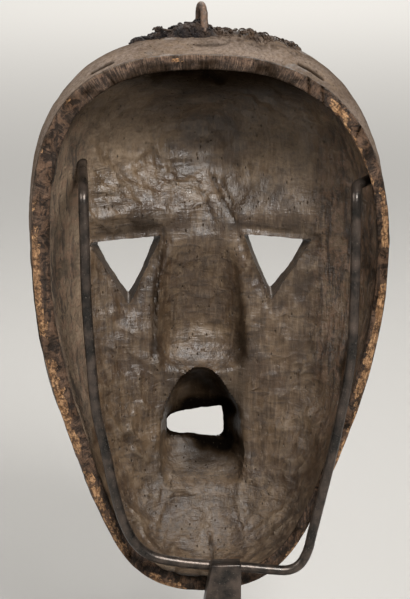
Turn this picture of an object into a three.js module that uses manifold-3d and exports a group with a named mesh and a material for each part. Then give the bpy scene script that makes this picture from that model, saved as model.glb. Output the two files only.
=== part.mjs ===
// A carved wooden Dan face mask hung on its bent-rod display cradle, in millimetres.
// +Z is up and the mask faces -Y. The origin is the middle of the foot plate's underside.
// Places on the mask are given as x, z and depth: x sideways and z up from the middle of the
// face at its widest level, and depth forwards from the plane of the rim.
import * as THREE from 'three';
import { mergeVertices } from 'three/addons/utils/BufferGeometryUtils.js';
import Module from 'manifold-3d';

const wasm = await Module();
wasm.setup();

// Outline of the mask's rim
const halfWidth = 76.5; // from the middle to the rim's outer edge at the widest level
const crownHeight = 83; // from the widest level up to the top of the rim
const chinDrop = 158.5; // from the widest level down to the bottom of the rim
const crownFullness = 2.57; // exponent of the outline above the widest level
const jawFullness = 2.27; // exponent of the outline below it
const jawTaper = 0.124; // how far the cheeks run in towards the chin
const crownShift = 6.2; // the top of the outline leans sideways by this much
const chinShift = 1.4;
const rimWall = 6.3; // thickness of the wood at the rim
const wallLean = 0.2; // it is thicker at +X and thinner at -X by this share
const rimSetBack = 6.8; // the rim's sides stand this far behind its top and bottom

// Section of the mask: the face's depth, the wood behind it, and how far the wall flares
const faceDepth = 57; // from the rim's plane to the face, before the features
const faceWall = 11; // thickness of the wood behind the face
const sectionSquareness = 2.5;
const crownFlare = 0.152;
const crownLean = -0.55; // the crown swells more at -X than at +X by this share
const sideFlare = 0.088;
const flarePower = 1.5; // how fast the side's flare turns into the crown's
const hollowFlareShare = 0.75;
const reliefReach = 0.75; // share of the dome's rise over which the relief fades in
const poleZ = -45; // the middle of the face, which the section shrinks towards
const columns = 28; // cells of the carved surfaces, across and up
const rows = 42;

// Features of the face, set out from its middle line. A spread is how far a swelling reaches
// across and up before it dies away.
const middleX = 0.6;
const foreheadSwell = 20;
const foreheadZ = 38;
const foreheadSpread = [50, 31];
const ridgeProud = 1.8; // the fine ridge down the middle of the forehead
const ridgeHalfWidth = 4;
const ridgeFoot = [4, 14]; // levels between which it rises
const ridgeHead = [58, 76]; // levels between which it dies away
const browProud = 5;
const browRadius = 278; // of the arch that the brow follows
const browDrop = 2;
const browSwell = [-9, 6]; // heights on the arch between which the brow rises
const browCrest = 3;
const browReach = 15;
const browFade = [46, 64]; // from the middle line to where the brow dies away
const socketDepth = 5;
const socketPlace = [34, -20];
const socketSpread = [20, 17];
const cheekSwell = 6;
const cheekPlace = [42, -55];
const cheekSpread = [19, 22];
const muzzleSwell = 17;
const muzzleSpread = [36, 27];
const chinSwell = 8;
const chinSpread = [24, 13];
const chinZ = -136;
const noseTopZ = 2;
const noseBaseZ = -72;
const noseProud = 21;
const noseHalfWidth = 17;
const noseBury = 5; // how far the nose's root goes into the wood
const lipHalfWidth = 26;
const lipHalfHeight = 15;
const lipThick = 6;
const lipFullness = 0.28; // the ring's section as a share of its half width

// Features of the hollow
const hollowForeheadSwell = 18.5;
const hollowForeheadZ = 36;
const hollowForeheadSpread = [48, 30];
const ledgeProud = 2.5;
const ledgeZ = 6;
const ledgeSpread = [60, 7];
const hollowMuzzleSwell = 4;
const hollowMuzzleSpread = [34, 26];

// Openings of the mask
const leftEyeCorners = [[19.8, -5], [48, -7.4], [34.2, -33.4]]; // inner, outer, tip
const rightEyeCorners = [[-19.7, -5], [-46.1, -7.4], [-31.3, -32]];
const eyeCornerRound = 1.5;
const eyeDepth = 50; // the eyes' sizes are given at this depth
const eyeFlare = 0.022; // the holes widen towards the hollow by this share for each millimetre
const mouthX = 2;
const mouthZ = -100.5;
const mouthHoleX = 2.6;
const mouthHoleZ = -98.6;
const mouthHalfWidth = 12.9;
const mouthHeights = [9.4, 15.6]; // at the +X end and at the -X end
const mouthCornerRound = 3;
const mouthDepth = 74;
const mouthFlare = 0.006;
const cutterReach = 18; // how far a hole's cutter goes past the depth that its size is given at

// Hollows behind the nose and the mouth
const troughTopZ = 0;
const troughBaseZ = -75;
const troughHalfWidth = 22;
const troughDepth = 10; // how far it goes in past the hollow's surface
const cavityHalfWidth = 21;
const cavityDepth = 15;
const cavityTopZ = -74;
const cavityBaseZ = -122;
const cutterStart = 8; // how far behind the hollow's surface their round sections start
const cutterBack = 20; // and how far behind that the cutters end

// The display cradle
const clearance = 0.3; // gap between pieces that touch
const rodRadius = 2.2;
const rodDepth = -9.5; // the rod lies in this plane behind the rim
const rodSides = 8;
const rodSteps = 76;
const seatShare = 0.5; // how far the rod's tips go into the wall, as a share of it
const elbowSetIn = 5; // from the arm's plane forwards to the middle of its elbow
const bendSetIn = 1.2; // and to the start of the bend
const bendDrop = 3.2;
const rodFootShare = 0.9; // the rod's foot crosses the post this far down the chin's drop
const postThick = 8;
const postWidth = 16.2;
const postTopWidth = 12.9;
const postBevelHeight = 18;
const postSideX = -12.2; // the straight edge of the post
const postAboveRod = 4.4; // the post's top stands this far above the middle of the rod
const footWidth = 130;
const footLength = 120;
const footThick = 8;
const footCornerRadius = 5;
const chinClearance = 70; // from the foot plate up to the bottom of the rim
const rimY = 30; // the rim's plane, so that the mask stands over the foot

// The hanging loop and the fibre round its foot
const loopRadius = 1.7;
const loopHalfGap = 5; // from the middle of the loop to the middle of each leg
const loopProud = 13; // from the wood to the middle of the loop's bend
const loopSeat = 4; // how far its legs go into the wood
const loopDepth = 25;
const loopTurn = THREE.MathUtils.degToRad(80);
const loopX = 2.2;
const bandEnds = [35, -43];
const bandThick = 3.8;
const bandFront = 34;
const bandBack = 14;

const levelZ = footThick + chinClearance + chinDrop; // the widest level above the ground

// From mask places to the model's own frame
const place = (x, z, depth) => new THREE.Vector3(x, rimY - depth, levelZ + z);

const swelling = (x, z, [atX, atZ], [spreadX, spreadZ]) =>
  Math.exp(-(((x - atX) / spreadX) ** 2) - ((z - atZ) / spreadZ) ** 2);

const pair = (x, z, [atX, atZ], spread) =>
  swelling(x, z, [atX, atZ], spread) + swelling(x, z, [-atX, atZ], spread);

const step = THREE.MathUtils.smoothstep;

// The broad relief of the face, as depth added in front of the dome
function faceRelief(x, z) {
  const across = x - middleX;
  const forehead = foreheadSwell * swelling(across, z, [0, foreheadZ], foreheadSpread);
  const ridge = ridgeProud * Math.exp(-((across / ridgeHalfWidth) ** 2))
    * step(z, ...ridgeFoot) * (1 - step(z, ...ridgeHead));
  const browArch = z + browDrop - (across * across) / (2 * browRadius);
  const brow = browProud * step(browArch, ...browSwell)
    * Math.exp(-(((browArch - browCrest) / browReach) ** 2))
    * (1 - step(Math.abs(across), ...browFade));
  const sockets = socketDepth * pair(across, z, socketPlace, socketSpread);
  const cheeks = cheekSwell * pair(across, z, cheekPlace, cheekSpread);
  const muzzle = muzzleSwell * swelling(across, z, [0, mouthZ], muzzleSpread);
  const chin = chinSwell * swelling(across, z, [0, chinZ], chinSpread);
  return forehead + ridge + brow - sockets + cheeks + muzzle + chin;
}

// The broad relief of the hollow: deep behind the forehead, with a ledge above the eyes
function hollowRelief(x, z) {
  const across = x - middleX;
  const forehead = hollowForeheadSwell
    * swelling(across, z, [0, hollowForeheadZ], hollowForeheadSpread);
  const ledge = ledgeProud * swelling(across, z, [0, ledgeZ], ledgeSpread);
  const muzzle = hollowMuzzleSwell * swelling(across, z, [0, mouthZ], hollowMuzzleSpread);
  return forehead - ledge + muzzle;
}

const faceDome = { inset: 0, depth: faceDepth, flare: 1, relief: faceRelief };
const hollowDome = {
  inset: rimWall, depth: faceDepth - faceWall, flare: hollowFlareShare, relief: hollowRelief,
};

// A point of the rim's outline at an angle, drawn in by an inset
function outline(angle, inset) {
  const upper = Math.sin(angle) >= 0;
  const power = 2 / (upper ? crownFullness : jawFullness);
  const drawn = inset * (1 + wallLean * Math.cos(angle));
  const reach = (upper ? crownHeight : chinDrop) - drawn;
  const up = Math.abs(Math.sin(angle)) ** power;
  const side = Math.sign(Math.cos(angle)) * Math.abs(Math.cos(angle)) ** power;
  const taper = upper ? 1 : 1 - jawTaper * Math.sin(Math.PI * up * up);
  const x = (halfWidth - drawn) * side * taper + (upper ? crownShift : chinShift) * up * up;
  return { x, z: (upper ? reach : -reach) * up };
}

// A point of a carved surface, at a rise from the rim (0) to the middle of the face (90 degrees)
function surfacePoint(dome, angle, rise) {
  const edge = outline(angle, dome.inset);
  const power = 2 / sectionSquareness;
  const crown = crownFlare * (1 + crownLean * Math.cos(angle));
  const flare = sideFlare + (crown - sideFlare) * Math.max(0, Math.sin(angle)) ** flarePower;
  const scale = Math.max(0, Math.cos(rise)) ** power * (1 + dome.flare * flare * Math.sin(2 * rise));
  const forward = Math.sin(rise) ** power;
  const x = scale * edge.x;
  const z = poleZ + scale * (edge.z - poleZ);
  const rimDepth = -rimSetBack * Math.cos(angle) ** 2;
  const relief = dome.relief(x, z) * step(forward, 0, reliefReach);
  return place(x, z, rimDepth + (dome.depth - rimDepth) * forward + relief);
}

// Rises at even distances along the dome's section, from the rim to the middle
function evenRises(count) {
  const samples = 400;
  const reach = (crownHeight + chinDrop + 2 * halfWidth) / 4;
  const power = 2 / sectionSquareness;
  const lengths = [0];
  for (let i = 1; i <= samples; i += 1) {
    const [a, b] = [i - 1, i].map((k) => (k / samples) * (Math.PI / 2));
    const inward = reach * (Math.cos(a) ** power - Math.max(0, Math.cos(b)) ** power);
    const forward = faceDepth * (Math.sin(b) ** power - Math.sin(a) ** power);
    lengths.push(lengths[i - 1] + Math.hypot(inward, forward));
  }
  let i = 0;
  return Array.from({ length: count + 1 }, (_, k) => {
    while (i < samples && lengths[i] < (k / count) * lengths[samples]) i += 1;
    return (i / samples) * (Math.PI / 2);
  });
}

const riseTable = evenRises(200);

// A carved surface's point at a share across (-1 to 1) and up (-1 to 1) a square that is
// pressed into the rim's outline, so that its cells run straight down the middle of the face
function carvedPoint(dome, across, up) {
  const x = across * Math.sqrt(1 - (up * up) / 2);
  const z = up * Math.sqrt(1 - (across * across) / 2);
  const inward = (1 - Math.min(1, Math.hypot(x, z))) * (riseTable.length - 1);
  const low = Math.floor(inward);
  const high = Math.min(low + 1, riseTable.length - 1);
  const rise = THREE.MathUtils.lerp(riseTable[low], riseTable[high], inward - low);
  return surfacePoint(dome, Math.atan2(z, x), rise);
}

// Six times the volume inside a closed surface, negative where its faces point inwards
function enclosedVolume(positions, index) {
  const corner = (i) => new THREE.Vector3().fromArray(positions, 3 * index[i]);
  let sum = 0;
  for (let i = 0; i < index.length; i += 3) {
    sum += corner(i).dot(corner(i + 1).cross(corner(i + 2)));
  }
  return sum;
}

function closedGeometry(points, index) {
  const positions = points.flatMap((point) => point.toArray());
  const geometry = new THREE.BufferGeometry();
  geometry.setAttribute('position', new THREE.Float32BufferAttribute(positions, 3));
  geometry.setIndex(enclosedVolume(positions, index) < 0 ? index.reverse() : index);
  return geometry;
}

// The mask's surfaces as one closed skin, or one of them closed by a flat back
function shellGeometry(front, back) {
  const points = [];
  const index = [];
  const cellShare = (i, count) => {
    const even = (2 * i) / count - 1;
    return even * (0.75 + 0.25 * even * even);
  };
  const at = (layer, i, j) => layer * (columns + 1) * (rows + 1) + j * (columns + 1) + i;
  [front, back].forEach((dome, layer) => {
    for (let j = 0; j <= rows; j += 1) {
      for (let i = 0; i <= columns; i += 1) {
        points.push(carvedPoint(dome, cellShare(i, columns), cellShare(j, rows)));
      }
    }
    for (let j = 0; j < rows; j += 1) {
      for (let i = 0; i < columns; i += 1) {
        const [a, b] = [at(layer, i, j), at(layer, i + 1, j)];
        const [c, d] = [at(layer, i + 1, j + 1), at(layer, i, j + 1)];
        const slantsUp = (i < columns / 2) === (j < rows / 2);
        const cell = slantsUp ? [a, b, c, a, c, d] : [a, b, d, b, c, d];
        index.push(...(layer ? cell.reverse() : cell));
      }
    }
  });
  const edge = [];
  for (let i = 0; i < columns; i += 1) edge.push([i, 0]);
  for (let j = 0; j < rows; j += 1) edge.push([columns, j]);
  for (let i = columns; i > 0; i -= 1) edge.push([i, rows]);
  for (let j = rows; j > 0; j -= 1) edge.push([0, j]);
  edge.forEach((from, k) => {
    const to = edge[(k + 1) % edge.length];
    const [a, b] = [at(0, ...from), at(0, ...to)];
    const [c, d] = [at(1, ...to), at(1, ...from)];
    index.push(a, d, b, b, d, c);
  });
  return closedGeometry(points, index);
}

// A closed surface through a list of rings of equal count, with a flat fan over each end
function loft(rings) {
  const count = rings[0].length;
  const middleOf = (ring) => ring.reduce((sum, p) => sum.add(p), new THREE.Vector3()).divideScalar(count);
  const points = [...rings.flat(), middleOf(rings[0]), middleOf(rings[rings.length - 1])];
  const index = [];
  for (let i = 0; i < count; i += 1) {
    const j = (i + 1) % count;
    for (let r = 0; r + 1 < rings.length; r += 1) {
      const [a, b] = [r * count + i, r * count + j];
      const [c, d] = [b + count, a + count];
      index.push(a, b, c, a, c, d);
    }
    const last = (rings.length - 1) * count;
    index.push(rings.length * count, j, i);
    index.push(rings.length * count + 1, last + i, last + j);
  }
  return closedGeometry(points, index);
}

function solid(geometry) {
  const bare = geometry.clone();
  Object.keys(bare.attributes).filter((name) => name !== 'position').forEach((name) => bare.deleteAttribute(name));
  const merged = mergeVertices(bare, 1e-4);
  return new wasm.Manifold(new wasm.Mesh({
    numProp: 3,
    vertProperties: new Float32Array(merged.attributes.position.array),
    triVerts: new Uint32Array(merged.index.array),
  }));
}

function geometryOf(body) {
  const { vertProperties, triVerts } = body.getMesh();
  const geometry = new THREE.BufferGeometry();
  geometry.setAttribute('position', new THREE.BufferAttribute(vertProperties, 3));
  geometry.setIndex(new THREE.BufferAttribute(triVerts, 1));
  geometry.computeVertexNormals();
  return geometry;
}

// The depth of a carved surface under a place on the face
function depthAt(dome, x, z) {
  let best = { miss: Infinity, depth: 0 };
  for (let up = -0.98; up <= 0.98; up += 0.01) {
    for (let across = -0.9; across <= 0.9; across += 0.02) {
      const point = carvedPoint(dome, across, up);
      const miss = Math.hypot(point.x - x, point.z - levelZ - z);
      if (miss < best.miss) best = { miss, depth: rimY - point.y };
    }
  }
  return best.depth;
}

// A form that runs down the middle of the face through half-round sections. Each station is a
// share of the way down, a share of the half width and a share of the reach from the root.
function spine(stations, { halfWide, topZ, baseZ, root, reach, back }) {
  const sides = 12;
  const rings = stations.map(([down, wide, height]) => {
    const z = THREE.MathUtils.lerp(topZ, baseZ, down);
    const arc = Array.from({ length: sides + 1 }, (_, k) => {
      const angle = (k / sides) * Math.PI;
      return place(middleX + halfWide * wide * Math.cos(angle), z, root + reach * height * Math.sin(angle));
    });
    return [
      ...arc,
      place(middleX - halfWide * wide, z, root - back),
      place(middleX + halfWide * wide, z, root - back),
    ];
  });
  return solid(loft(rings));
}

const noseShape = [
  [0, 0.55, 0.2], [0.12, 0.6, 0.38], [0.35, 0.68, 0.57], [0.62, 0.8, 0.82], [0.8, 0.93, 0.97],
  [0.9, 1, 1], [0.97, 0.98, 0.92], [1, 0.86, 0.78],
];

const troughShape = [
  [0, 0.55, 0.2], [0.1, 0.8, 0.45], [0.3, 0.9, 0.66], [0.55, 0.96, 0.85], [0.75, 1, 0.97],
  [0.88, 1, 0.95], [0.96, 0.93, 0.7], [1, 0.75, 0.4],
];

const cavityShape = [
  [0, 0.86, 0.5], [0.05, 0.96, 0.8], [0.2, 1, 1], [0.6, 1, 1], [0.78, 0.98, 0.88], [0.92, 0.92, 0.64],
  [1, 0.8, 0.3],
];

function noseBody() {
  const root = depthAt(faceDome, middleX, (noseTopZ + noseBaseZ) / 2) - noseBury;
  const reach = noseProud + noseBury;
  return spine(noseShape, {
    halfWide: noseHalfWidth, topZ: noseTopZ, baseZ: noseBaseZ, root, reach, back: 0,
  });
}

// The hollows behind the nose and the mouth, cut from well behind the hollow's surface
function hollowCutter(stations, halfWide, topZ, baseZ, depth) {
  const root = depthAt(hollowDome, middleX, (topZ + baseZ) / 2) - cutterStart;
  return spine(stations, {
    halfWide, topZ, baseZ, root, reach: depth + cutterStart, back: cutterBack,
  });
}

// A hole's cutter: corners in x and z, given at one depth, that spread towards the hollow
function flaredCutter(corners, round, givenDepth, flare) {
  const shape = new THREE.Shape();
  corners.forEach((corner, i) => {
    const before = corners[(i + corners.length - 1) % corners.length];
    const after = corners[(i + 1) % corners.length];
    const start = corner.clone().add(before.clone().sub(corner).setLength(round));
    const end = corner.clone().add(after.clone().sub(corner).setLength(round));
    if (i === 0) shape.moveTo(start.x, start.y);
    else shape.lineTo(start.x, start.y);
    shape.quadraticCurveTo(corner.x, corner.y, end.x, end.y);
  });
  shape.closePath();
  const points = shape.getPoints(3).slice(0, -1);
  const middle = corners.reduce((sum, c) => sum.add(c), new THREE.Vector2()).divideScalar(corners.length);
  const ring = (depth) => points.map((p) => {
    const scale = 1 + flare * (givenDepth - depth);
    const spread = p.clone().sub(middle).multiplyScalar(scale).add(middle);
    return place(spread.x, spread.y, depth);
  });
  return solid(loft([ring(givenDepth + cutterReach), ring(givenDepth - cutterReach)]));
}

function eyeCutter(eyeCorners) {
  const corners = eyeCorners.map(([x, z]) => new THREE.Vector2(x, z));
  return flaredCutter(corners, eyeCornerRound, eyeDepth, eyeFlare);
}

function mouthCutter() {
  const [leftHalf, rightHalf] = mouthHeights.map((height) => height / 2);
  const corners = [
    [-mouthHalfWidth, rightHalf], [-mouthHalfWidth, -rightHalf],
    [mouthHalfWidth, -leftHalf], [mouthHalfWidth, leftHalf],
  ].map(([x, z]) => new THREE.Vector2(mouthHoleX + x, mouthHoleZ + z));
  return flaredCutter(corners, mouthCornerRound, mouthDepth, mouthFlare);
}

// The lips: one ring round the mouth, thicker in the middle of the face than at its corners
function lipRing() {
  const ring = new THREE.TorusGeometry(1, lipFullness, 8, 28);
  ring.rotateX(Math.PI / 2);
  ring.scale(lipHalfWidth - lipThick, lipThick / lipFullness, lipHalfHeight - lipThick / 2);
  const middle = place(mouthX, mouthZ, depthAt(faceDome, mouthX, mouthZ) - lipThick * 0.2);
  ring.translate(middle.x, middle.y, middle.z);
  return solid(ring);
}

// The rod's arms and foot, from one tip to the other: x as a share of the half width, z as a
// share of the height above or below the widest level
const rodShape = [
  [0.709, 0.2], [0.707, 0.1], [0.702, -0.126], [0.682, -0.294], [0.658, -0.436], [0.61, -0.551],
  [0.562, -0.668], [0.507, -0.766], [0.439, -0.829], [0.347, -0.866], [0.185, -0.886], [0.011, -0.897],
  [-0.193, -0.906], [-0.339, -0.915], [-0.445, -0.918], [-0.509, -0.904], [-0.555, -0.866], [-0.588, -0.8],
  [-0.637, -0.697], [-0.697, -0.566], [-0.744, -0.451], [-0.79, -0.308], [-0.803, -0.139], [-0.803, 0.16],
];

// Where each tip of the rod meets the hollow, and how far below it the rod's elbow is
const hookSeats = [
  { angle: THREE.MathUtils.degToRad(30), rise: THREE.MathUtils.degToRad(40.5), drop: 3 },
  { angle: THREE.MathUtils.degToRad(165.5), rise: THREE.MathUtils.degToRad(11.5), drop: 1 },
];

function rodCurve() {
  const arms = rodShape.map(([x, z]) => place(x * halfWidth, z * (z > 0 ? crownHeight : chinDrop), rodDepth));
  const hook = ({ angle, rise, drop }, arm) => {
    const seat = surfacePoint(hollowDome, angle, rise);
    const elbow = new THREE.Vector3(arm.x, arm.y - elbowSetIn, seat.z - drop);
    const along = seat.clone().sub(elbow).normalize();
    const tip = seat.clone().addScaledVector(along, rimWall * seatShare);
    const bend = new THREE.Vector3(arm.x, arm.y - bendSetIn, elbow.z - bendDrop);
    const halfway = elbow.clone().lerp(seat, 0.5);
    return [tip, seat, halfway, elbow.clone().lerp(seat, 0.12), bend];
  };
  const [first, last] = [arms[0], arms[arms.length - 1]];
  const points = [...hook(hookSeats[0], first), ...arms, ...hook(hookSeats[1], last).reverse()];
  return new THREE.CatmullRomCurve3(points, false, 'centripetal');
}

// A round bar along a curve
function barGeometry(curve, radius, sides, steps) {
  const section = new THREE.Shape(Array.from({ length: sides }, (_, i) => {
    const angle = (i / sides) * 2 * Math.PI;
    return new THREE.Vector2(radius * Math.cos(angle), radius * Math.sin(angle));
  }));
  return new THREE.ExtrudeGeometry(section, { steps, curveSegments: 1, extrudePath: curve });
}

const rodBar = (radius) => barGeometry(rodCurve(), radius, rodSides, rodSteps);

// Height of the wood's crest above the widest level, at a place across the crown
function crownTop(x) {
  const crestRise = Math.PI / 8;
  let best = { miss: Infinity, z: 0 };
  for (let angle = 0.12; angle < Math.PI - 0.12; angle += 0.005) {
    const point = surfacePoint(faceDome, angle, crestRise);
    const miss = Math.abs(point.x - x);
    if (miss < best.miss) best = { miss, z: point.z - levelZ };
  }
  return best.z;
}

// The hanging loop: two legs and a half-round bend, turned a little from the side view
function loopBar(radius) {
  const wood = crownTop(loopX);
  const at = (across, z) => place(
    loopX + across * Math.cos(loopTurn), z, loopDepth + across * Math.sin(loopTurn),
  );
  const bendZ = wood + loopProud - loopHalfGap;
  const legs = [[1.25, wood - loopSeat], [1.1, (wood + bendZ) / 2]];
  const bendSteps = 6;
  const bend = Array.from({ length: bendSteps + 1 }, (_, i) => {
    const angle = Math.PI * (1 - i / bendSteps);
    return at(loopHalfGap * Math.cos(angle), bendZ + loopHalfGap * Math.sin(angle));
  });
  const points = [
    ...legs.map(([share, z]) => at(-share * loopHalfGap, z)),
    ...bend,
    ...legs.reverse().map(([share, z]) => at(share * loopHalfGap, z)),
  ];
  return barGeometry(new THREE.CatmullRomCurve3(points, false, 'centripetal'), radius, 8, 20);
}

// The band of matted fibre across the crown: a lumpy strip that lies on the wood
function bandBody() {
  const slices = 26;
  const sides = 10;
  const middleDepth = (bandFront + bandBack) / 2;
  const rings = Array.from({ length: slices + 1 }, (_, i) => {
    const share = i / slices;
    const x = THREE.MathUtils.lerp(bandEnds[0], bandEnds[1], share);
    const taper = 0.3 + 0.7 * Math.sin(Math.PI * share) ** 0.35;
    const lump = 1 + 0.22 * Math.sin(share * 21) + 0.13 * Math.sin(share * 47 + 1);
    const crest = crownTop(x);
    const half = ((bandFront - bandBack) / 2) * (0.55 + 0.45 * taper);
    return Array.from({ length: sides }, (__, k) => {
      const angle = (k / sides) * 2 * Math.PI;
      const up = Math.sin(angle);
      const dip = 4 * Math.cos(angle) ** 2;
      const height = up > 0 ? bandThick * taper * lump : bandThick;
      return place(x, crest - dip + height * up, middleDepth + half * Math.cos(angle));
    });
  });
  return solid(loft(rings));
}

function postGeometry() {
  const rodFoot = levelZ - rodFootShare * chinDrop;
  const top = rodFoot + postAboveRod;
  const shape = new THREE.Shape();
  shape.moveTo(postSideX, footThick + clearance);
  shape.lineTo(postSideX + postWidth, footThick + clearance);
  shape.lineTo(postSideX + postWidth, top - postBevelHeight);
  shape.lineTo(postSideX + postTopWidth, top);
  shape.lineTo(postSideX, top);
  shape.closePath();
  const geometry = new THREE.ExtrudeGeometry(shape, { depth: postThick, bevelEnabled: false });
  geometry.rotateX(Math.PI / 2);
  geometry.translate(0, rimY - rodDepth + rodRadius + clearance + postThick, 0);
  return geometry;
}

function footGeometry() {
  const [halfX, halfY, r] = [footWidth / 2, footLength / 2, footCornerRadius];
  const shape = new THREE.Shape();
  shape.moveTo(-halfX + r, -halfY);
  shape.lineTo(halfX - r, -halfY);
  shape.absarc(halfX - r, -halfY + r, r, -Math.PI / 2, 0);
  shape.lineTo(halfX, halfY - r);
  shape.absarc(halfX - r, halfY - r, r, 0, Math.PI / 2);
  shape.lineTo(-halfX + r, halfY);
  shape.absarc(-halfX + r, halfY - r, r, Math.PI / 2, Math.PI);
  shape.lineTo(-halfX, -halfY + r);
  shape.absarc(-halfX + r, -halfY + r, r, Math.PI, 1.5 * Math.PI);
  return new THREE.ExtrudeGeometry(shape, { depth: footThick, bevelEnabled: false, curveSegments: 4 });
}

const wood = new THREE.MeshStandardMaterial({ color: 0x4a3a2c, roughness: 0.62, metalness: 0 });
const fibre = new THREE.MeshStandardMaterial({ color: 0x1f1814, roughness: 0.95, metalness: 0 });
const iron = new THREE.MeshStandardMaterial({ color: 0x5a4a42, roughness: 0.7, metalness: 0.5 });
const steel = new THREE.MeshStandardMaterial({ color: 0x2a2827, roughness: 0.42, metalness: 0.6 });

const part = new THREE.Group();

function add(name, geometry, material) {
  const mesh = new THREE.Mesh(geometry, material);
  mesh.name = name;
  part.add(mesh);
}

const loopRoom = solid(loopBar(loopRadius + clearance));
const mask = solid(shellGeometry(faceDome, hollowDome))
  .add(noseBody())
  .add(lipRing())
  .subtract(hollowCutter(troughShape, troughHalfWidth, troughTopZ, troughBaseZ, troughDepth))
  .subtract(hollowCutter(cavityShape, cavityHalfWidth, cavityTopZ, cavityBaseZ, cavityDepth))
  .subtract(eyeCutter(leftEyeCorners))
  .subtract(eyeCutter(rightEyeCorners))
  .subtract(mouthCutter())
  .subtract(solid(rodBar(rodRadius + clearance)))
  .subtract(loopRoom);

// The face as a full body, a little grown, which the band's underside follows
const grownFace = { ...faceDome, inset: -clearance, depth: faceDepth + clearance };
const flatBack = { ...grownFace, depth: 0, flare: 1, relief: () => 0 };
const band = bandBody().subtract(solid(shellGeometry(grownFace, flatBack))).subtract(loopRoom);

add('mask', geometryOf(mask), wood);
add('fibre_band', geometryOf(band), fibre);
add('hanging_loop', loopBar(loopRadius), iron);
add('cradle_rod', rodBar(rodRadius), steel);
add('cradle_post', postGeometry(), steel);
add('cradle_foot', footGeometry(), steel);

export default part;
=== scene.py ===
"""A carved wooden Dan face mask on its bent-rod cradle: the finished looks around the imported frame.

Everything ends up in metres, in the frame's own axes: +Z up, the face towards -Y. The carving is
worked out in millimetres, at places on the mask: x sideways and z up from the middle of the face at
its widest level, and depth forwards from the plane of the rim.
"""

import itertools
import math

import bmesh
import bpy
import numpy as np
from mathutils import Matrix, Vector


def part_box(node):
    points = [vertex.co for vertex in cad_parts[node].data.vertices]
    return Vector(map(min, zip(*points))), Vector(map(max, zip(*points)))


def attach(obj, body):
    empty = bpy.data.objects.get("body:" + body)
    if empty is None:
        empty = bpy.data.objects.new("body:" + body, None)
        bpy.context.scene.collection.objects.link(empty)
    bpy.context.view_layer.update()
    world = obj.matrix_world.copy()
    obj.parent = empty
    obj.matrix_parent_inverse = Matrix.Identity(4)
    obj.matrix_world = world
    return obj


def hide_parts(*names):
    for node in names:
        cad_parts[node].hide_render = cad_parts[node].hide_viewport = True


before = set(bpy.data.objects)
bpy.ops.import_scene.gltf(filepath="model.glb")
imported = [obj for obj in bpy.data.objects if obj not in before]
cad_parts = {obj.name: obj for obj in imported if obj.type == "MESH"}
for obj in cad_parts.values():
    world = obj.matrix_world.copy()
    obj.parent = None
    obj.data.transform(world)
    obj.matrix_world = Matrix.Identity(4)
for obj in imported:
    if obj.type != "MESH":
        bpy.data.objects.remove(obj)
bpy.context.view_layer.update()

MM = 0.001

# Outline and section of the mask, as the solids have them, in millimetres
HALF_WIDTH = 76.5
CROWN_HEIGHT = 83.0
CHIN_DROP = 158.5
CROWN_FULLNESS = 2.57
JAW_FULLNESS = 2.27
JAW_TAPER = 0.124
CROWN_SHIFT = 6.2
CHIN_SHIFT = 1.4
RIM_WALL = 6.3
WALL_LEAN = 0.2
RIM_SET_BACK = 6.8
FACE_DEPTH = 57.0
FACE_WALL = 11.0
SQUARENESS = 2.5
CROWN_FLARE = 0.152
CROWN_LEAN = -0.55
SIDE_FLARE = 0.088
FLARE_POWER = 1.5
HOLLOW_FLARE_SHARE = 0.75
RELIEF_REACH = 0.75
POLE_Z = -45.0
MIDDLE_X = 0.6
RIM_Y = 30.0
LEVEL_Z = 236.5
CLEARANCE = 0.3

# Cells of the carved surfaces, across, up and over the rim
COLUMNS = 168
ROWS = 240
RIM_RINGS = 12
RIM_ROUND = 1.1  # how far the rim's worn edges round over

# Openings: their corners or middle, and how their cutters spread, how rough they are and how sooty,
# which also paints shade on their walls
LEFT_EYE = ((19.8, -5.0), (48.0, -7.4), (34.2, -33.4))
RIGHT_EYE = ((-19.7, -5.0), (-46.1, -7.4), (-31.3, -32.0))
MOUTH = (2.0, -100.5)
MOUTH_HOLE = (2.6, -98.6)
MOUTH_HALF_WIDTH = 12.9
MOUTH_HEIGHTS = (9.4, 15.6)
EYE_CUT = {
    "given_depth": 50, "flare": 0.022, "near": 30, "far": 76,
    "round_by": 1.5, "rough": 0.3, "soot": 0.5,
}
MOUTH_CUT = {
    "given_depth": 74, "flare": 0.006, "near": 50, "far": 100,
    "round_by": 3, "rough": 0.35, "soot": 1.5,
}

# The cradle
ROD_RADIUS = 2.2
ROD_DEPTH = -9.5
ROD_SHAPE = (
    (0.709, 0.2), (0.707, 0.1), (0.702, -0.126), (0.682, -0.294), (0.658, -0.436),
    (0.61, -0.551), (0.562, -0.668), (0.507, -0.766), (0.439, -0.829), (0.347, -0.866),
    (0.185, -0.886), (0.011, -0.897), (-0.193, -0.906), (-0.339, -0.915), (-0.445, -0.918),
    (-0.509, -0.904), (-0.555, -0.866), (-0.588, -0.8), (-0.637, -0.697), (-0.697, -0.566),
    (-0.744, -0.451), (-0.79, -0.308), (-0.803, -0.139), (-0.803, 0.16),
)
HOOK_SEATS = ((30.0, 40.5, 3.0), (165.5, 11.5, 1.0))  # angle and rise in degrees, drop of the elbow
SEAT_SHARE = 0.5
ELBOW_SET_IN = 5.0
BEND_SET_IN = 1.2
BEND_DROP = 3.2
POST_WIDTH = 16.2
POST_TOP_WIDTH = 12.9
POST_BEVEL_HEIGHT = 18.0
POST_SIDE_X = -12.2
POST_EDGE = 0.7
FOOT_CORNER = 5.0
FOOT_EDGE = 0.8

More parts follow.
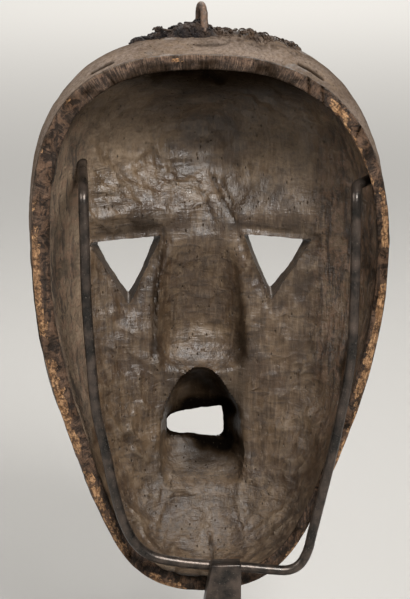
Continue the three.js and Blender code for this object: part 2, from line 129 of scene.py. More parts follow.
# The hanging loop and the fibre
LOOP_RADIUS = 1.7
LOOP_HALF_GAP = 5.0
LOOP_PROUD = 13.0
LOOP_SEAT = 4.0
LOOP_DEPTH = 25.0
LOOP_TURN = math.radians(80)
LOOP_X = 2.2
BAND_ENDS = (33.0, -41.5)
BAND_THICK = 3.8
BAND_FRONT = 34.0
BAND_BACK = 14.0
BAND_UNDERSIDE = 1.5
STRANDS = 210
KNOTS = 70
CRUMBS = 90


# Smooth random values

LATTICE = 48


def noise(points, seed):
    """Random values from -1 to 1 that change smoothly over distances of about 1."""
    grid = np.random.default_rng(seed).uniform(-1, 1, (LATTICE,) * 3)
    cell = np.floor(points).astype(int)
    share = points - cell
    share = share * share * share * (share * (share * 6 - 15) + 10)
    total = np.zeros(points.shape[:-1])
    for corner in itertools.product((0, 1), repeat=3):
        weight = np.prod(np.where(np.array(corner), share, 1 - share), axis=-1)
        i, j, k = np.moveaxis((cell + corner) % LATTICE, -1, 0)
        total += weight * grid[i, j, k]
    return total


def layered_noise(points, seed, layers=4):
    """Noise with finer and weaker noise on top of it."""
    return sum(noise(points * 2.03**k, seed + k) * 0.5**k for k in range(layers))


def scoops(u, v, seed, jitter=0.9):
    """Bowls side by side: the squared distance from the nearest one's middle, and its random value."""
    table = np.random.default_rng(seed).random((LATTICE, LATTICE, 3))
    cell_u, cell_v = np.floor(u).astype(int), np.floor(v).astype(int)
    nearest = np.full(u.shape, 9.0)
    value = np.zeros(u.shape)
    for step_u, step_v in itertools.product((-1, 0, 1), repeat=2):
        i, j = cell_u + step_u, cell_v + step_v
        place = table[i % LATTICE, j % LATTICE]
        middle_u = i + 0.5 + (place[..., 0] - 0.5) * jitter
        middle_v = j + 0.5 + (place[..., 1] - 0.5) * jitter
        distance = (u - middle_u) ** 2 + (v - middle_v) ** 2
        nearer = distance < nearest
        nearest = np.where(nearer, distance, nearest)
        value = np.where(nearer, place[..., 2], value)
    return nearest, value


def places(*parts):
    """Coordinates or numbers, put together as a place at each point."""
    return np.stack(np.broadcast_arrays(*parts), -1)


def smoothstep(value, low, high):
    share = np.clip((value - low) / (high - low), 0, 1)
    return share * share * (3 - 2 * share)


def hump(value, middle, spread):
    """A rounded rise to 1 at a middle value."""
    return np.exp(-(((value - middle) / spread) ** 2))


def stretch(value, low, high, soft):
    """1 between two values and 0 beyond them, with soft ends."""
    return smoothstep(value, low - soft, low + soft) * (1 - smoothstep(value, high - soft, high + soft))


def swelling(x, z, at, spread):
    return np.exp(-(((x - at[0]) / spread[0]) ** 2) - ((z - at[1]) / spread[1]) ** 2)


def pair(x, z, at, spread):
    return swelling(x, z, at, spread) + swelling(x, z, (-at[0], at[1]), spread)


def unit(vectors):
    """Each vector at a length of 1."""
    return vectors / np.maximum(np.linalg.norm(vectors, axis=-1, keepdims=True), 1e-9)


def smooth_max(a, b, blend):
    """The larger of two heights, rounded over where they cross."""
    share = np.clip(0.5 + 0.5 * (b - a) / blend, 0, 1)
    return a + (b - a) * share + blend * share * (1 - share)


# The carved forms

def face_relief(x, z):
    across = x - MIDDLE_X
    forehead = 20 * swelling(across, z, (0, 38), (50, 31))
    ridge = 2.4 * hump(across, 0, 3.2) * smoothstep(z, 4, 14) * (1 - smoothstep(z, 58, 76))
    arch = z + 2 - across**2 / 556
    brow = 5.6 * smoothstep(arch, -8, 3) * hump(arch, 3, 13)
    brow *= 1 - smoothstep(np.abs(across), 46, 64)
    sockets = 5 * pair(across, z, (34, -20), (20, 17))
    cheeks = 6 * pair(across, z, (42, -55), (19, 22))
    muzzle = 17 * swelling(across, z, (0, MOUTH[1]), (36, 27))
    chin = 8 * swelling(across, z, (0, -136), (24, 13))
    return forehead + ridge + brow - sockets + cheeks + muzzle + chin


def hollow_form(x, z, crest):
    """The forehead and the muzzle in the hollow, with the crest over the eyes left standing."""
    across = x - MIDDLE_X
    forehead = 18.5 * swelling(across, z, (0, 36), (48, 30))
    muzzle = 4 * swelling(across, z, (0, MOUTH[1]), (34, 26))
    return forehead - crest + muzzle


def hollow_relief(x, z):
    level = 7.0 - 1.2 * hump(x, 16, 8) - 2.0 * smoothstep(-x, 5, 25)
    tall = 2.6 + 2.2 * smoothstep(x, -5, 30)
    crest = tall * np.exp(-np.abs((z - level) / np.where(z > level, 9, 6.0)) ** 1.8)
    crest *= 1 - 0.75 * smoothstep(np.abs(x - MIDDLE_X), 38, 62)
    crest *= 1 - 0.7 * hump(x, 1, 12)
    return hollow_form(x, z, crest)


def cad_hollow_relief(x, z):
    """The relief as the solid has it, which the rod's seats are set out from."""
    return hollow_form(x, z, 2.5 * swelling(x - MIDDLE_X, z, (0, 6), (60, 7)))


FACE = {"inset": 0.0, "depth": FACE_DEPTH, "flare": 1.0, "relief": face_relief}
HOLLOW = {
    "inset": RIM_WALL, "depth": FACE_DEPTH - FACE_WALL, "flare": HOLLOW_FLARE_SHARE,
    "relief": hollow_relief,
}
CAD_HOLLOW = {**HOLLOW, "relief": cad_hollow_relief}


def rim_depth(angle):
    """The rim bows back at its sides."""
    return -RIM_SET_BACK * np.cos(angle) ** 2


def outline(angle, inset):
    """The rim's outline at an angle, drawn in by an inset."""
    sine, cosine = np.sin(angle), np.cos(angle)
    upper = sine >= 0
    power = np.where(upper, 2 / CROWN_FULLNESS, 2 / JAW_FULLNESS)
    drawn = inset * (1 + WALL_LEAN * cosine)
    reach = np.where(upper, CROWN_HEIGHT, CHIN_DROP) - drawn
    up = np.abs(sine) ** power
    side = np.sign(cosine) * np.abs(cosine) ** power
    taper = np.where(upper, 1, 1 - JAW_TAPER * np.sin(np.pi * up * up))
    x = (HALF_WIDTH - drawn) * side * taper + np.where(upper, CROWN_SHIFT, CHIN_SHIFT) * up * up
    return x, np.where(upper, reach, -reach) * up


def dome_point(dome, angle, rise):
    """A carved surface's x, z and depth at a rise, from none at the rim to a right angle."""
    edge_x, edge_z = outline(angle, dome["inset"])
    power = 2 / SQUARENESS
    crown = CROWN_FLARE * (1 + CROWN_LEAN * np.cos(angle))
    flare = SIDE_FLARE + (crown - SIDE_FLARE) * np.maximum(0, np.sin(angle)) ** FLARE_POWER
    scale = np.maximum(0, np.cos(rise)) ** power * (1 + dome["flare"] * flare * np.sin(2 * rise))
    forward = np.sin(rise) ** power
    x = scale * edge_x
    z = POLE_Z + scale * (edge_z - POLE_Z)
    base = rim_depth(angle)
    relief = dome["relief"](x, z) * smoothstep(forward, 0, RELIEF_REACH)
    return x, z, base + (dome["depth"] - base) * forward + relief


def even_rises(count=600, samples=4000):
    """Rises at even distances along the dome's section, from the rim to the middle."""
    reach = (CROWN_HEIGHT + CHIN_DROP + 2 * HALF_WIDTH) / 4
    power = 2 / SQUARENESS
    rise = np.linspace(0, np.pi / 2, samples)
    inward = reach * np.diff(np.maximum(0, np.cos(rise)) ** power)
    forward = FACE_DEPTH * np.diff(np.sin(rise) ** power)
    length = np.concatenate([[0], np.cumsum(np.hypot(inward, forward))])
    return np.interp(np.linspace(0, length[-1], count), length, rise)


RISES = even_rises()


def dome_grid_point(dome, across, up):
    """A carved surface's point at shares of a square that is pressed into the rim's outline."""
    x = across * np.sqrt(1 - up * up / 2)
    z = up * np.sqrt(1 - across * across / 2)
    inward = 1 - np.minimum(1, np.hypot(x, z))
    rise = np.interp(inward, np.linspace(0, 1, len(RISES)), RISES)
    angle = np.arctan2(z, x)
    return (*dome_point(dome, angle, rise), angle, inward)


def cell_shares(count, crowding=()):
    """Shares from -1 to 1 for the grid's lines, closer together near each of the crowded places."""
    fine = np.linspace(-1, 1, 2001)
    density = 1 / (0.75 + 0.75 * fine * fine)
    for place, spread, gain in crowding:
        density += gain * hump(fine, place, spread)
    total = np.concatenate([[0], np.cumsum((density[1:] + density[:-1]) / 2)])
    return np.interp(np.linspace(0, total[-1], count + 1), total, fine)


def spine_depth(x, z, stations, half_wide, top_z, base_z, root, reach, fullness=2.0):
    """Depth of a half-round form down the middle of the face, and -inf beside it."""
    down, wide, height = np.array(stations).T
    share = (top_z - z) / (top_z - base_z)
    half = half_wide * np.interp(share, down, wide)
    tall = np.interp(share, down, height)
    aside = np.clip(1 - np.abs((x - MIDDLE_X) / half) ** fullness, 0, 1)
    depth = root + reach * tall * aside ** (1 / fullness)
    return np.where((share < 0) | (share > 1) | (aside <= 0), -np.inf, depth)


NOSE_SHAPE = (
    (0, 0.5, 0.14), (0.12, 0.58, 0.36), (0.35, 0.68, 0.57), (0.62, 0.8, 0.82), (0.8, 0.95, 0.97),
    (0.88, 1.0, 1.0), (0.93, 0.98, 0.93), (0.965, 0.9, 0.7), (0.985, 0.8, 0.42), (1, 0.7, 0.1),
)
TROUGH_SHAPE = (
    (0, 0.5, 0.1), (0.05, 0.7, 0.32), (0.12, 0.8, 0.46), (0.34, 0.9, 0.66), (0.6, 0.96, 0.86),
    (0.74, 1, 0.93), (0.84, 1, 0.86), (0.92, 0.98, 0.66), (0.97, 0.94, 0.46), (1, 0.9, 0.3),
)
CAVITY_SHAPE = (
    (0, 0.2, 0.4), (0.03, 0.32, 0.7), (0.07, 0.43, 0.9), (0.18, 0.62, 1), (0.32, 0.83, 1),
    (0.46, 0.95, 1), (0.6, 1, 1), (0.7, 1, 0.96), (0.8, 0.98, 0.82), (0.88, 0.94, 0.62),
    (0.95, 0.88, 0.4), (1, 0.8, 0.2),
)


def pole_depth(dome, z):
    """Depth of a carved surface on its middle line, at a level below the pole or above it."""
    angle = np.where(z > POLE_Z, np.pi / 2, -np.pi / 2)
    rise = np.linspace(0.05, np.pi / 2, 800)
    _, levels, depths = dome_point(dome, np.full(rise.shape, float(angle)), rise)
    return float(depths[np.argmin(np.abs(levels - z))])


def carve_hollow(x, z, depth):
    """The trough behind the nose and the cavity behind the mouth, cut into the hollow."""
    trough_root = pole_depth(HOLLOW, -37.5) - 8
    trough = spine_depth(x, z, TROUGH_SHAPE, 21.5, 1.5, -70, trough_root, 22.5, 2.6)
    cavity_root = pole_depth(HOLLOW, -98) - 8
    lean = 1.2 * smoothstep(z, -98, -70)
    cavity = spine_depth(x - lean, z, CAVITY_SHAPE, 20.5, -68, -122, cavity_root, 23, 2.8)
    blend = 0.7 + 0.8 * smoothstep(-(x - MIDDLE_X), -8, 14)
    depth = smooth_max(depth, np.maximum(trough, depth - 40), blend)
    blend = 1.2 + 4.2 * smoothstep(x, -4, 14) * (1 - smoothstep(z, -98, -76))
    blend += 4.0 * smoothstep(-x, 3, 12) * smoothstep(z, -100, -84)
    return smooth_max(depth, np.maximum(cavity, depth - 40), blend)


def carve_face(x, z, depth):
    """The nose and the lips, left proud of the face."""
    nose_root = pole_depth(FACE, -35) - 5
    nose = spine_depth(x, z, NOSE_SHAPE, 17, 2, -75, nose_root, 26)
    depth = smooth_max(depth, np.maximum(nose, depth - 40), 2.4)
    around = np.hypot((x - MOUTH[0]) / 20, (z - MOUTH[1]) / 12)
    lips = 4.6 * hump(around, 1, 0.27)
    inside = 3.0 * smoothstep(1 - around, 0.1, 0.5)
    return depth + lips - inside


def to_world(x, z, depth):
    return places(x, RIM_Y - depth, LEVEL_Z + z)


def polygon_distance(x, z, corners):
    """Distance from each place to a closed line through the corners."""
    best = np.full(x.shape, 1e9)
    for (ax, az), (bx, bz) in zip(corners, corners[1:] + corners[:1]):
        length = (bx - ax) ** 2 + (bz - az) ** 2
        share = np.clip(((x - ax) * (bx - ax) + (z - az) * (bz - az)) / length, 0, 1)
        best = np.minimum(best, np.hypot(x - ax - share * (bx - ax), z - az - share * (bz - az)))
    return best


def spread_corners(corners, scale):
    middle = np.mean(corners, axis=0)
    return [tuple(middle + (np.array(corner) - middle) * scale) for corner in corners]


def mouth_corners():
    left, right = (height / 2 for height in MOUTH_HEIGHTS)
    half = MOUTH_HALF_WIDTH
    offsets = ((-half, right), (-half, -right), (half, -left), (half, left))
    return [(MOUTH_HOLE[0] + x, MOUTH_HOLE[1] + z) for x, z in offsets]


def hole_edge(x, z, depth):
    """Distance from the nearest edge of an opening, where it meets a surface at that depth."""
    eye_scale = 1 + EYE_CUT["flare"] * (EYE_CUT["given_depth"] - float(np.median(depth)))
    eyes = [spread_corners(corners, eye_scale) for corners in (LEFT_EYE, RIGHT_EYE)]
    holes = (*eyes, mouth_corners())
    return np.minimum.reduce([polygon_distance(x, z, corners) for corners in holes])


def ridges(points, seed):
    """Thin wandering ridges between shallow hollows, from 0 to 1."""
    sharp = 1 - np.minimum(1, 1.35 * np.abs(noise(points, seed)))
    soft = 1 - np.minimum(1, 1.2 * np.abs(noise(points * 1.7 + 7.3, seed + 1)))
    return 0.75 * sharp**2 + 0.25 * soft**2


def tool_marks(x, z, u, v, inward, angle):
    """Height of the adze and gouge marks left in the hollow, in millimetres."""
    place = places(x, z, 0.0)
    sway = 3.0 * layered_noise(place / 16, 11, 2)
    wander = 2.6 * layered_noise(place / 13, 15, 3)

    def rows(wide, tall, lean=0.0):
        return places((u + sway) / wide, (v + wander + lean * u * u / 100) / tall, 0.0)

    def bowls(wide, tall, seed, lean=0.0):
        at = rows(wide, tall, lean)
        hollow, size = scoops(at[..., 0], at[..., 1], seed)
        return hollow * (0.4 + 1.2 * size)

    glint = hump(z - 0.13 * x, 15, 9.5) * smoothstep(x, -10, 8) * (1 - smoothstep(x, 42, 62))
    patchy = smoothstep(layered_noise(place / 9, 33, 2), -0.45, 0.4)
    forehead = 1.9 * bowls(19, 11, 22, -0.3) + 0.5 * patchy * ridges(rows(12, 6, -0.2), 23)
    forehead += 2.2 * glint * ridges(rows(22, 8.5, -0.2), 27)
    forehead *= 1 - 0.5 * smoothstep(-x, 0, 25)
    cheek = 1.5 * bowls(14, 8, 24) + 1.0 * patchy * ridges(rows(12, 4.6, 0.1), 29)
    cheek *= 1 - 0.55 * smoothstep(np.abs(x - 2), 26, 16)

    around = places((angle * 62 + sway) / 24, (inward * 112 + 0.7 * wander) / 6.5, 0.0)
    crown = 1.3 * ridges(around, 31) + 0.8 * bowls(22, 14, 26)
    chin = 2.6 * bowls(15, 9, 28) + 0.4 * ridges(rows(12, 6), 35)

    near_crown = smoothstep(z, 34, 54)
    height = forehead + (crown - forehead) * near_crown
    height = cheek + (height - cheek) * smoothstep(z, -6, 9)
    height = chin + (height - chin) * smoothstep(z, -126, -112)
    side = smoothstep(np.abs(x - MIDDLE_X), 50, 60) * (1 - near_crown)
    upright = places((u + 0.5 * wander) / 5, v / 26, 0.0)
    height += (1.3 * ridges(upright, 37) + 0.7 * bowls(9, 20, 38) - height) * side
    uneven = 0.95 * layered_noise(place / 26, 31, 3) + 0.15 * layered_noise(place / 5, 35, 2)
    return height, uneven


# Knife lines and a drying crack in the hollow: start, end, and how wide and deep each is
CUTS = (
    ((18.2, -3), (21.6, -34), 1.2, 1.5), ((21.6, -34), (22.9, -60), 1.3, 1.6),
    ((-2.1, -143), (-2.6, -152), 0.7, 1.3), ((41.4, 36.5), (43.0, 31.5), 0.9, 0.8),
    ((9.2, 44), (8.2, 33), 0.5, 0.8), ((-4.5, 23), (-9, 11), 0.8, 1.4),
    ((-9, 11), (-15, 1), 0.9, 1.3), ((-8.5, 19), (-13.5, 9), 0.7, 1.1),
    ((0, 15), (-4.5, 3), 0.7, 1.0), ((22.6, 45), (20.6, 23), 0.6, 0.7),
    ((-21, 27), (-23, 12), 0.5, 0.5), ((-6, 26), (-2, 21), 0.8, 0.6),
    ((20.5, 31), (18.5, 25.5), 0.7, 0.8),
)
# Low ledges that the adze left across the forehead's hollow, as x and z along each
LEDGES = (
    ((46.7, 17), (36.5, 20.2), (29.7, 17), (22.4, 12.8), (12.6, 17.5), (4.1, 20), (-4.4, 23)),
    ((46.7, 12.8), (36.5, 12.3), (28, 9.7), (19.5, 11.2), (10.9, 13.9), (3.7, 14.4)),
    ((46, 6), (36.5, 7.1), (29.7, 9.7), (18.6, 8.7), (15.2, 4.5), (8.8, 8.7)),
    ((38, 33), (30, 31), (26, 34)), ((34, 25), (27, 28), (21, 25)),
)
LEDGE_HEIGHT = 0.9
LEDGE_WIDTH = 1.2


def cut_depth(x, z):
    return sum(deep * hump(polygon_distance(x, z, (start, end)), 0, wide)
               for start, end, wide, deep in CUTS)


def ledge_height(x, z):
    distance = np.full(x.shape, np.inf)
    for ledge in LEDGES:
        for ends in zip(ledge, ledge[1:]):
            distance = np.minimum(distance, polygon_distance(x, z, ends))
    return LEDGE_HEIGHT * hump(distance, 0, LEDGE_WIDTH)


def surface_lengths(points):
    """Lengths along a grid of points, across from its middle column and up from its middle row."""
    across, up = (
        np.insert(np.cumsum(np.linalg.norm(np.diff(points, axis=axis), axis=-1), axis), 0, 0, axis)
        for axis in (1, 0)
    )
    return across - across[:, [COLUMNS // 2]], up - up[[ROWS // 2], :]


def blurred(heights, reach=5):
    """A grid of heights, averaged over the cells around each place."""
    for axis in (0, 1):
        shifted = [np.roll(heights, step, axis) for step in range(-reach, reach + 1)]
        heights = sum(shifted) / len(shifted)
    return heights


def grid_normals(points):
    return unit(np.cross(np.gradient(points, axis=1), np.gradient(points, axis=0)))


# Old slots beside the rim, outside the crown: first and last angle, share inward, and depth
CROWN_SLOTS = ((59.5, 68.5, 0.046, 2.6), (117.5, 127.5, 0.05, 2.4), (89.5, 96.0, 0.07, 0.5))
SLOT_WIDTH = 0.0095

# Where the grid's lines crowd, up the mask: at the openings and across the forehead
CROWDED = ((-0.24, 0.07, 0.9), (-0.42, 0.12, 0.35), (0.47, 0.12, 0.3))

HOLE_EDGE_WIDTH = 1.6
HOLLOW_EDGE_WORN = 0.9
FACE_EDGE_WORN = 1.1


def crown_slots(degrees, inward):
    depth = np.zeros_like(inward)
    for start, end, at, deep in CROWN_SLOTS:
        along = stretch(degrees, start, end, 0.7)
        depth = np.maximum(depth, deep * along * hump(inward, at, SLOT_WIDTH))
    return depth


def crust_share(x, z, depth):
    """How far the fibre's crust of soil reaches over the crown at each place, from 0 to 1."""
    along = smoothstep(-x, -12, 14) * (1 - smoothstep(-x, 36, 46))
    return along * smoothstep(z, 55, 70) * hump(depth, 13, 6)


def dome_layer(dome):
    """One carved surface as a grid of world points in millimetres, with what its finish needs."""
    hollow = dome is HOLLOW
    across, up = np.meshgrid(cell_shares(COLUMNS), cell_shares(ROWS, CROWDED))
    x, z, depth, angle, inward = dome_grid_point(dome, across, up)
    depth = (carve_hollow if hollow else carve_face)(x, z, depth)
    from_rim = np.abs(depth - rim_depth(angle))
    depth = depth + RIM_ROUND * np.exp(-from_rim / (2.5 * RIM_ROUND))

    points = to_world(x, z, depth)
    normal = grid_normals(points)
    backward = normal * np.sign(normal[ROWS // 2, COLUMNS // 2, 1])
    outward = backward if hollow else -backward
    near_edge = hump(hole_edge(x, z, depth), 0, HOLE_EDGE_WIDTH)
    if hollow:
        marks, uneven = tool_marks(x, z, *surface_lengths(points), inward, angle)
        marks = marks + ledge_height(x, z) - cut_depth(x, z)
        height = marks + uneven - HOLLOW_EDGE_WORN * near_edge
    else:
        place = points / 10
        rugged = 0.4 + 0.6 * np.exp(-inward / 0.2) + 1.2 * crust_share(x, z, depth)
        marks = 0.4 * layered_noise(place / 2.2, 51, 3)
        marks = marks + 0.3 * rugged * layered_noise(place * 1.3, 57, 3)
        marks = marks - crown_slots(np.degrees(angle), inward)
        height = marks - FACE_EDGE_WORN * near_edge
    away = smoothstep(inward, 0.0, 0.02)
    points = points + outward * (height * (0.35 + 0.65 * away))[..., None]
    return {
        "points": points, "x": x, "z": z, "depth": depth, "angle": angle, "inward": inward,
        "relief": marks - blurred(marks), "near_edge": near_edge,
    }


def ring_order():
    """Grid places along the surface's edge, in order round it."""
    order = [(0, i) for i in range(COLUMNS)] + [(j, COLUMNS) for j in range(ROWS)]
    order += [(ROWS, i) for i in range(COLUMNS, 0, -1)] + [(j, 0) for j in range(ROWS, 0, -1)]
    return np.array(order)


# Cracks across the rim: first and last angle in degrees, and how wide and deep they are
RIM_CRACKS = (
    (121.5, 125.0, 0.75, 1.5), (127.0, 131.5, 0.8, 1.6), (135.0, 138.5, 0.7, 1.2),
    (146.0, 149.0, 0.7, 1.2), (64.0, 66.0, 0.6, 0.6), (-63.0, -61.0, 0.6, 0.8),
)
# Worn lines along the crown's rim: share across, and height
RIM_LINES = ((0.07, 0.32), (0.19, -0.42), (0.9, 0.22), (0.8, -0.2))
RIM_LINE_WIDTH = 0.05
# Stretches of the rim that are worn to bare wood: angles in degrees, shares across, and how much
RIM_WEAR = (
    (133, 142, 0.3, 0.9, 1.0), (142, 152, 0.75, 1.1, 0.75), (152, 167, 0.84, 1.2, 0.75),
    (167, 181, 0.08, 0.6, 1.0), (-176, -157, 0.05, 0.75, 0.95), (-157, -138, -0.1, 0.35, 0.7),
    (-11, 4, -0.2, 0.42, 1.0), (-33, -15, -0.2, 0.48, 1.0), (-62, -36, 0.05, 0.7, 0.62),
    (-84, -72, -0.2, 0.4, 0.8), (84, 89, 0.24, 0.5, 0.8), (-128, -112, -0.1, 0.35, 0.6),
)


def rim_strip(face, hollow):
    """The rings over the rim between the two surfaces' edges, and what their finish needs."""
    rows, columns = ring_order().T
    outer, inner = face["points"][rows, columns], hollow["points"][rows, columns]
    angle = face["angle"][rows, columns]
    degrees = np.degrees(angle)
    run = np.cumsum(np.linalg.norm(np.diff(outer, axis=0, prepend=outer[:1]), axis=1))
    t = ((1 - np.cos(np.pi * np.arange(RIM_RINGS + 1) / RIM_RINGS)) / 2)[:, None]
    base = outer + (inner - outer) * t[..., None]
    low = outer[:, 1] + (inner[:, 1] - outer[:, 1]) * t
    full = np.maximum(0, 1 - np.abs(2 * t - 1) ** 3.2) ** 0.5
    place = places(base[..., 0] / 3.0, base[..., 2] / 3.0, t * 1.5)

    back = 0.16 * noise(place * np.array([1.6, 1.6, 1]), 61) + 0.3 * layered_noise(place * 0.35, 62, 2)
    lines = sum(height * hump(t, at, RIM_LINE_WIDTH) for at, height in RIM_LINES)
    back = back + lines * smoothstep(np.sin(angle), -0.2, 0.35)
    cracked = np.zeros_like(low)
    for start, end, wide, deep in RIM_CRACKS:
        away = np.radians(degrees - start - (end - start) * t) * 100
        cracked = np.maximum(cracked, deep * hump(away, 0, wide))
    chips = smoothstep(layered_noise(place * 0.75, 67, 2), 0.55, 0.85) * hump(t, 0.1, 0.22)
    back = back - cracked - 0.9 * chips
    y = low + (RIM_Y - rim_depth(angle) + back - low) * full
    whole = {"t": t, "degrees": degrees, "run": run, "cracked": cracked, "chips": chips}
    strip = {name: np.broadcast_to(value, low.shape)[1:-1] for name, value in whole.items()}
    strip["points"] = places(base[..., 0], y, base[..., 2])[1:-1]
    strip["place"] = place[1:-1]
    return strip


def rim_wear(degrees, t, place):
    wear = np.zeros_like(degrees)
    ragged = t + 0.16 * layered_noise(place * 0.9, 71, 3)
    for start, end, low, high, amount in RIM_WEAR:
        worn = stretch(degrees, start, end, 2.5) * stretch(ragged, low, high, 0.08)
        wear = np.maximum(wear, amount * worn)
    return wear


def add_values(mesh, values):
    for name, value in values.items():
        layer = mesh.attributes.new(name, "FLOAT", "POINT")
        layer.data.foreach_set("value", np.asarray(value, np.float32).ravel())


def new_object(name, data):
    obj = bpy.data.objects.new(name, data)
    bpy.context.scene.collection.objects.link(obj)
    return obj


def mesh_object(name, points, faces, material, values=None, solid=True):
    """A mesh object from points in millimetres and faces, with named values at its points."""
    mesh = bpy.data.meshes.new(name)
    mesh.from_pydata((np.asarray(points) * MM).tolist(), [], [tuple(face) for face in faces])
    mesh.polygons.foreach_set("use_smooth", [solid] * len(mesh.polygons))
    if values:
        add_values(mesh, values)
    mesh.materials.append(material)
    mesh.update()
    obj = new_object(name, mesh)
    if solid:
        turn_outwards(obj)
    return obj


def turn_outwards(obj):
    bm = bmesh.new()
    bm.from_mesh(obj.data)
    bmesh.ops.recalc_face_normals(bm, faces=bm.faces)
    bm.to_mesh(obj.data)
    bm.free()


def ring_faces(ring, following):
    """Faces between two closed rings of points."""
    return list(zip(ring, np.roll(ring, -1), np.roll(following, -1), following))


def loft_faces(rings, count):
    """Faces between rings of equal count, with a flat face over each end."""
    first = np.arange(count)
    faces = []
    for start in range(0, (rings - 1) * count, count):
        faces += ring_faces(first + start, first + start + count)
    return [*faces, first[::-1], first + (rings - 1) * count]


def grid_faces(start, flip):
    rows, columns = np.mgrid[:ROWS, :COLUMNS]
    corner = start + (rows * (COLUMNS + 1) + columns).ravel()
    faces = np.stack([corner, corner + 1, corner + COLUMNS + 2, corner + COLUMNS + 1], -1)
    return (faces[:, ::-1] if flip else faces).tolist()


# What the wood's finish needs at each point: shares, and places along the rim and across it
SHARES = ("wear", "soot", "dust", "polish", "relief", "side", "hollow", "on_rim")
VALUE_NAMES = (*SHARES, "run", "across")
# Places of painted shade in the hollow: on the right wall, under the brow, on the forehead's middle,
# beside the trough and in and round the mouth's cavity; and dusty places that also paint light on the
# forehead's sides and the trough's floor: how much, where, and how far across and up
PAINTED_SHADE_SPOTS = (
    (0.6, (-62, -60), (5, 12)), (0.9, (-71, -12), (4, 8)), (0.6, (-18.5, -55), (4, 26)),
    (0.55, (22, -42), (2.5, 26)), (1.2, (-12.5, -98), (6, 17)), (1.0, (0, -80), (14, 10)),
    (1.5, (1, -90), (16, 4.5)), (1.3, (-8, -107), (11, 6)), (0.6, (5, -110), (14, 8)),
    (0.6, (34, 0.5), (22, 5.5)), (0.3, (-30, -1), (26, 4)), (0.27, (-28, 12), (22, 9)),
    (0.26, (-2, 32), (16, 20)), (0.15, (2, -118), (14, 8)),
)
DUST_AND_LIGHT_SPOTS = (
    (0.3, (2, -54), (13, 9)), (0.65, (36, 34), (26, 26)), (0.7, (-36, 34), (26, 26)),
    (0.5, (42, 62), (24, 18)),
)


def finish_values(like, **given):
    """The finish's values over places like the given ones, none where nothing is given."""
    return {name: np.broadcast_to(given.get(name, 0.0), like.shape) for name in VALUE_NAMES}


def spots(x, z, table):
    return sum(amount * swelling(x, z, at, spread) for amount, at, spread in table)


def hollow_values(part):
    """How sooty, dusty, polished and worn the hollow is, with painted shade under the crown's rim, on
    its walls and in the mouth's cavity, and painted light on the left wall and the forehead's sides.
    """
    x, z, inward = part["x"], part["z"], part["inward"]
    place = places(x, z, part["depth"])
    patchy = layered_noise(place / 14, 81, 3)
    fine = layered_noise(place / 4, 85, 3)
    crown = smoothstep(z - 0.3 * np.maximum(x - 5, 0), 50, 72)
    side = smoothstep(np.abs(x - MIDDLE_X), 47, 59)
    # Soot and painted shade: the crown term is the shadow that the top rim casts into the hollow, the
    # spots are shade in its recesses, and the edge term darkens the lip of the mouth's hole.
    soot = 1.3 * crown + 0.25 * side * smoothstep(patchy, -0.1, 0.6) + spots(x, z, PAINTED_SHADE_SPOTS)
    soot += 0.3 * smoothstep(patchy, 0.0, 0.7) + 0.8 * part["near_edge"] * smoothstep(-z, 75, 85)
    # Dust, kept out of the painted shadow under the crown's rim; its spots also paint light on the
    # forehead's sides and the trough's floor.
    dust = 0.15 * smoothstep(-z, 60, 130) + 0.25 * fine - 0.3 * crown + spots(x, z, DUST_AND_LIGHT_SPOTS)
    # Painted light on the left wall, which faces the key light.
    dust += 1.15 * side * smoothstep(x, 0, 30)
    polish = hump(z - 0.13 * x, 15, 11) * smoothstep(x, -14, 8) * (1 - smoothstep(x, 45, 62))
    polish += 0.15 - 0.5 * swelling(x, z, (-4, 30), (14, 24)) - 1.5 * smoothstep(-z, 95, 125)
    polish += 0.4 * swelling(x, z, (4, -54), (9, 8))
    wear = 0.5 * np.exp(-inward / 0.01) * smoothstep(fine, 0.0, 0.5)
    wear *= smoothstep(-np.cos(part["angle"]), -0.2, 0.8)
    return finish_values(x, wear=wear, soot=soot, dust=dust, polish=polish,
                         relief=part["relief"], side=side, hollow=1.0)


def face_values(part):
    """The same for the face: dark and greasy in front, dusty towards the rim, with painted shade in the
    old slots and painted light on the left side near the rim.
    """
    x, z, inward = part["x"], part["z"], part["inward"]
    place = places(x, z, part["depth"])
    patchy = layered_noise(place / 18, 91, 3)
    near_rim = np.exp(-inward / 0.22)
    upper = smoothstep(z, -70, 40)
    slots = crown_slots(np.degrees(part["angle"]), inward)
    crust = crust_share(x, z, part["depth"])
    crust *= smoothstep(layered_noise(place / 1.6, 99, 3), -0.15, 0.35)
    wear = 0.3 * np.exp(-inward / 0.012) * smoothstep(patchy, 0.0, 0.6)
    # The slots' term is painted shade in them.
    soot = 0.75 + 0.3 * patchy - 0.85 * near_rim * upper + 0.6 * slots + 0.4 * crust
    # Dust near the rim, lifted further on the left side as painted light.
    dust = near_rim * (1.0 + 0.5 * patchy + 0.3 * smoothstep(x, 20, 60)) * (0.25 + 0.75 * upper)
    return finish_values(x, wear=wear, soot=soot, dust=dust, polish=0.8 - 1.8 * near_rim,
                         relief=part["relief"])


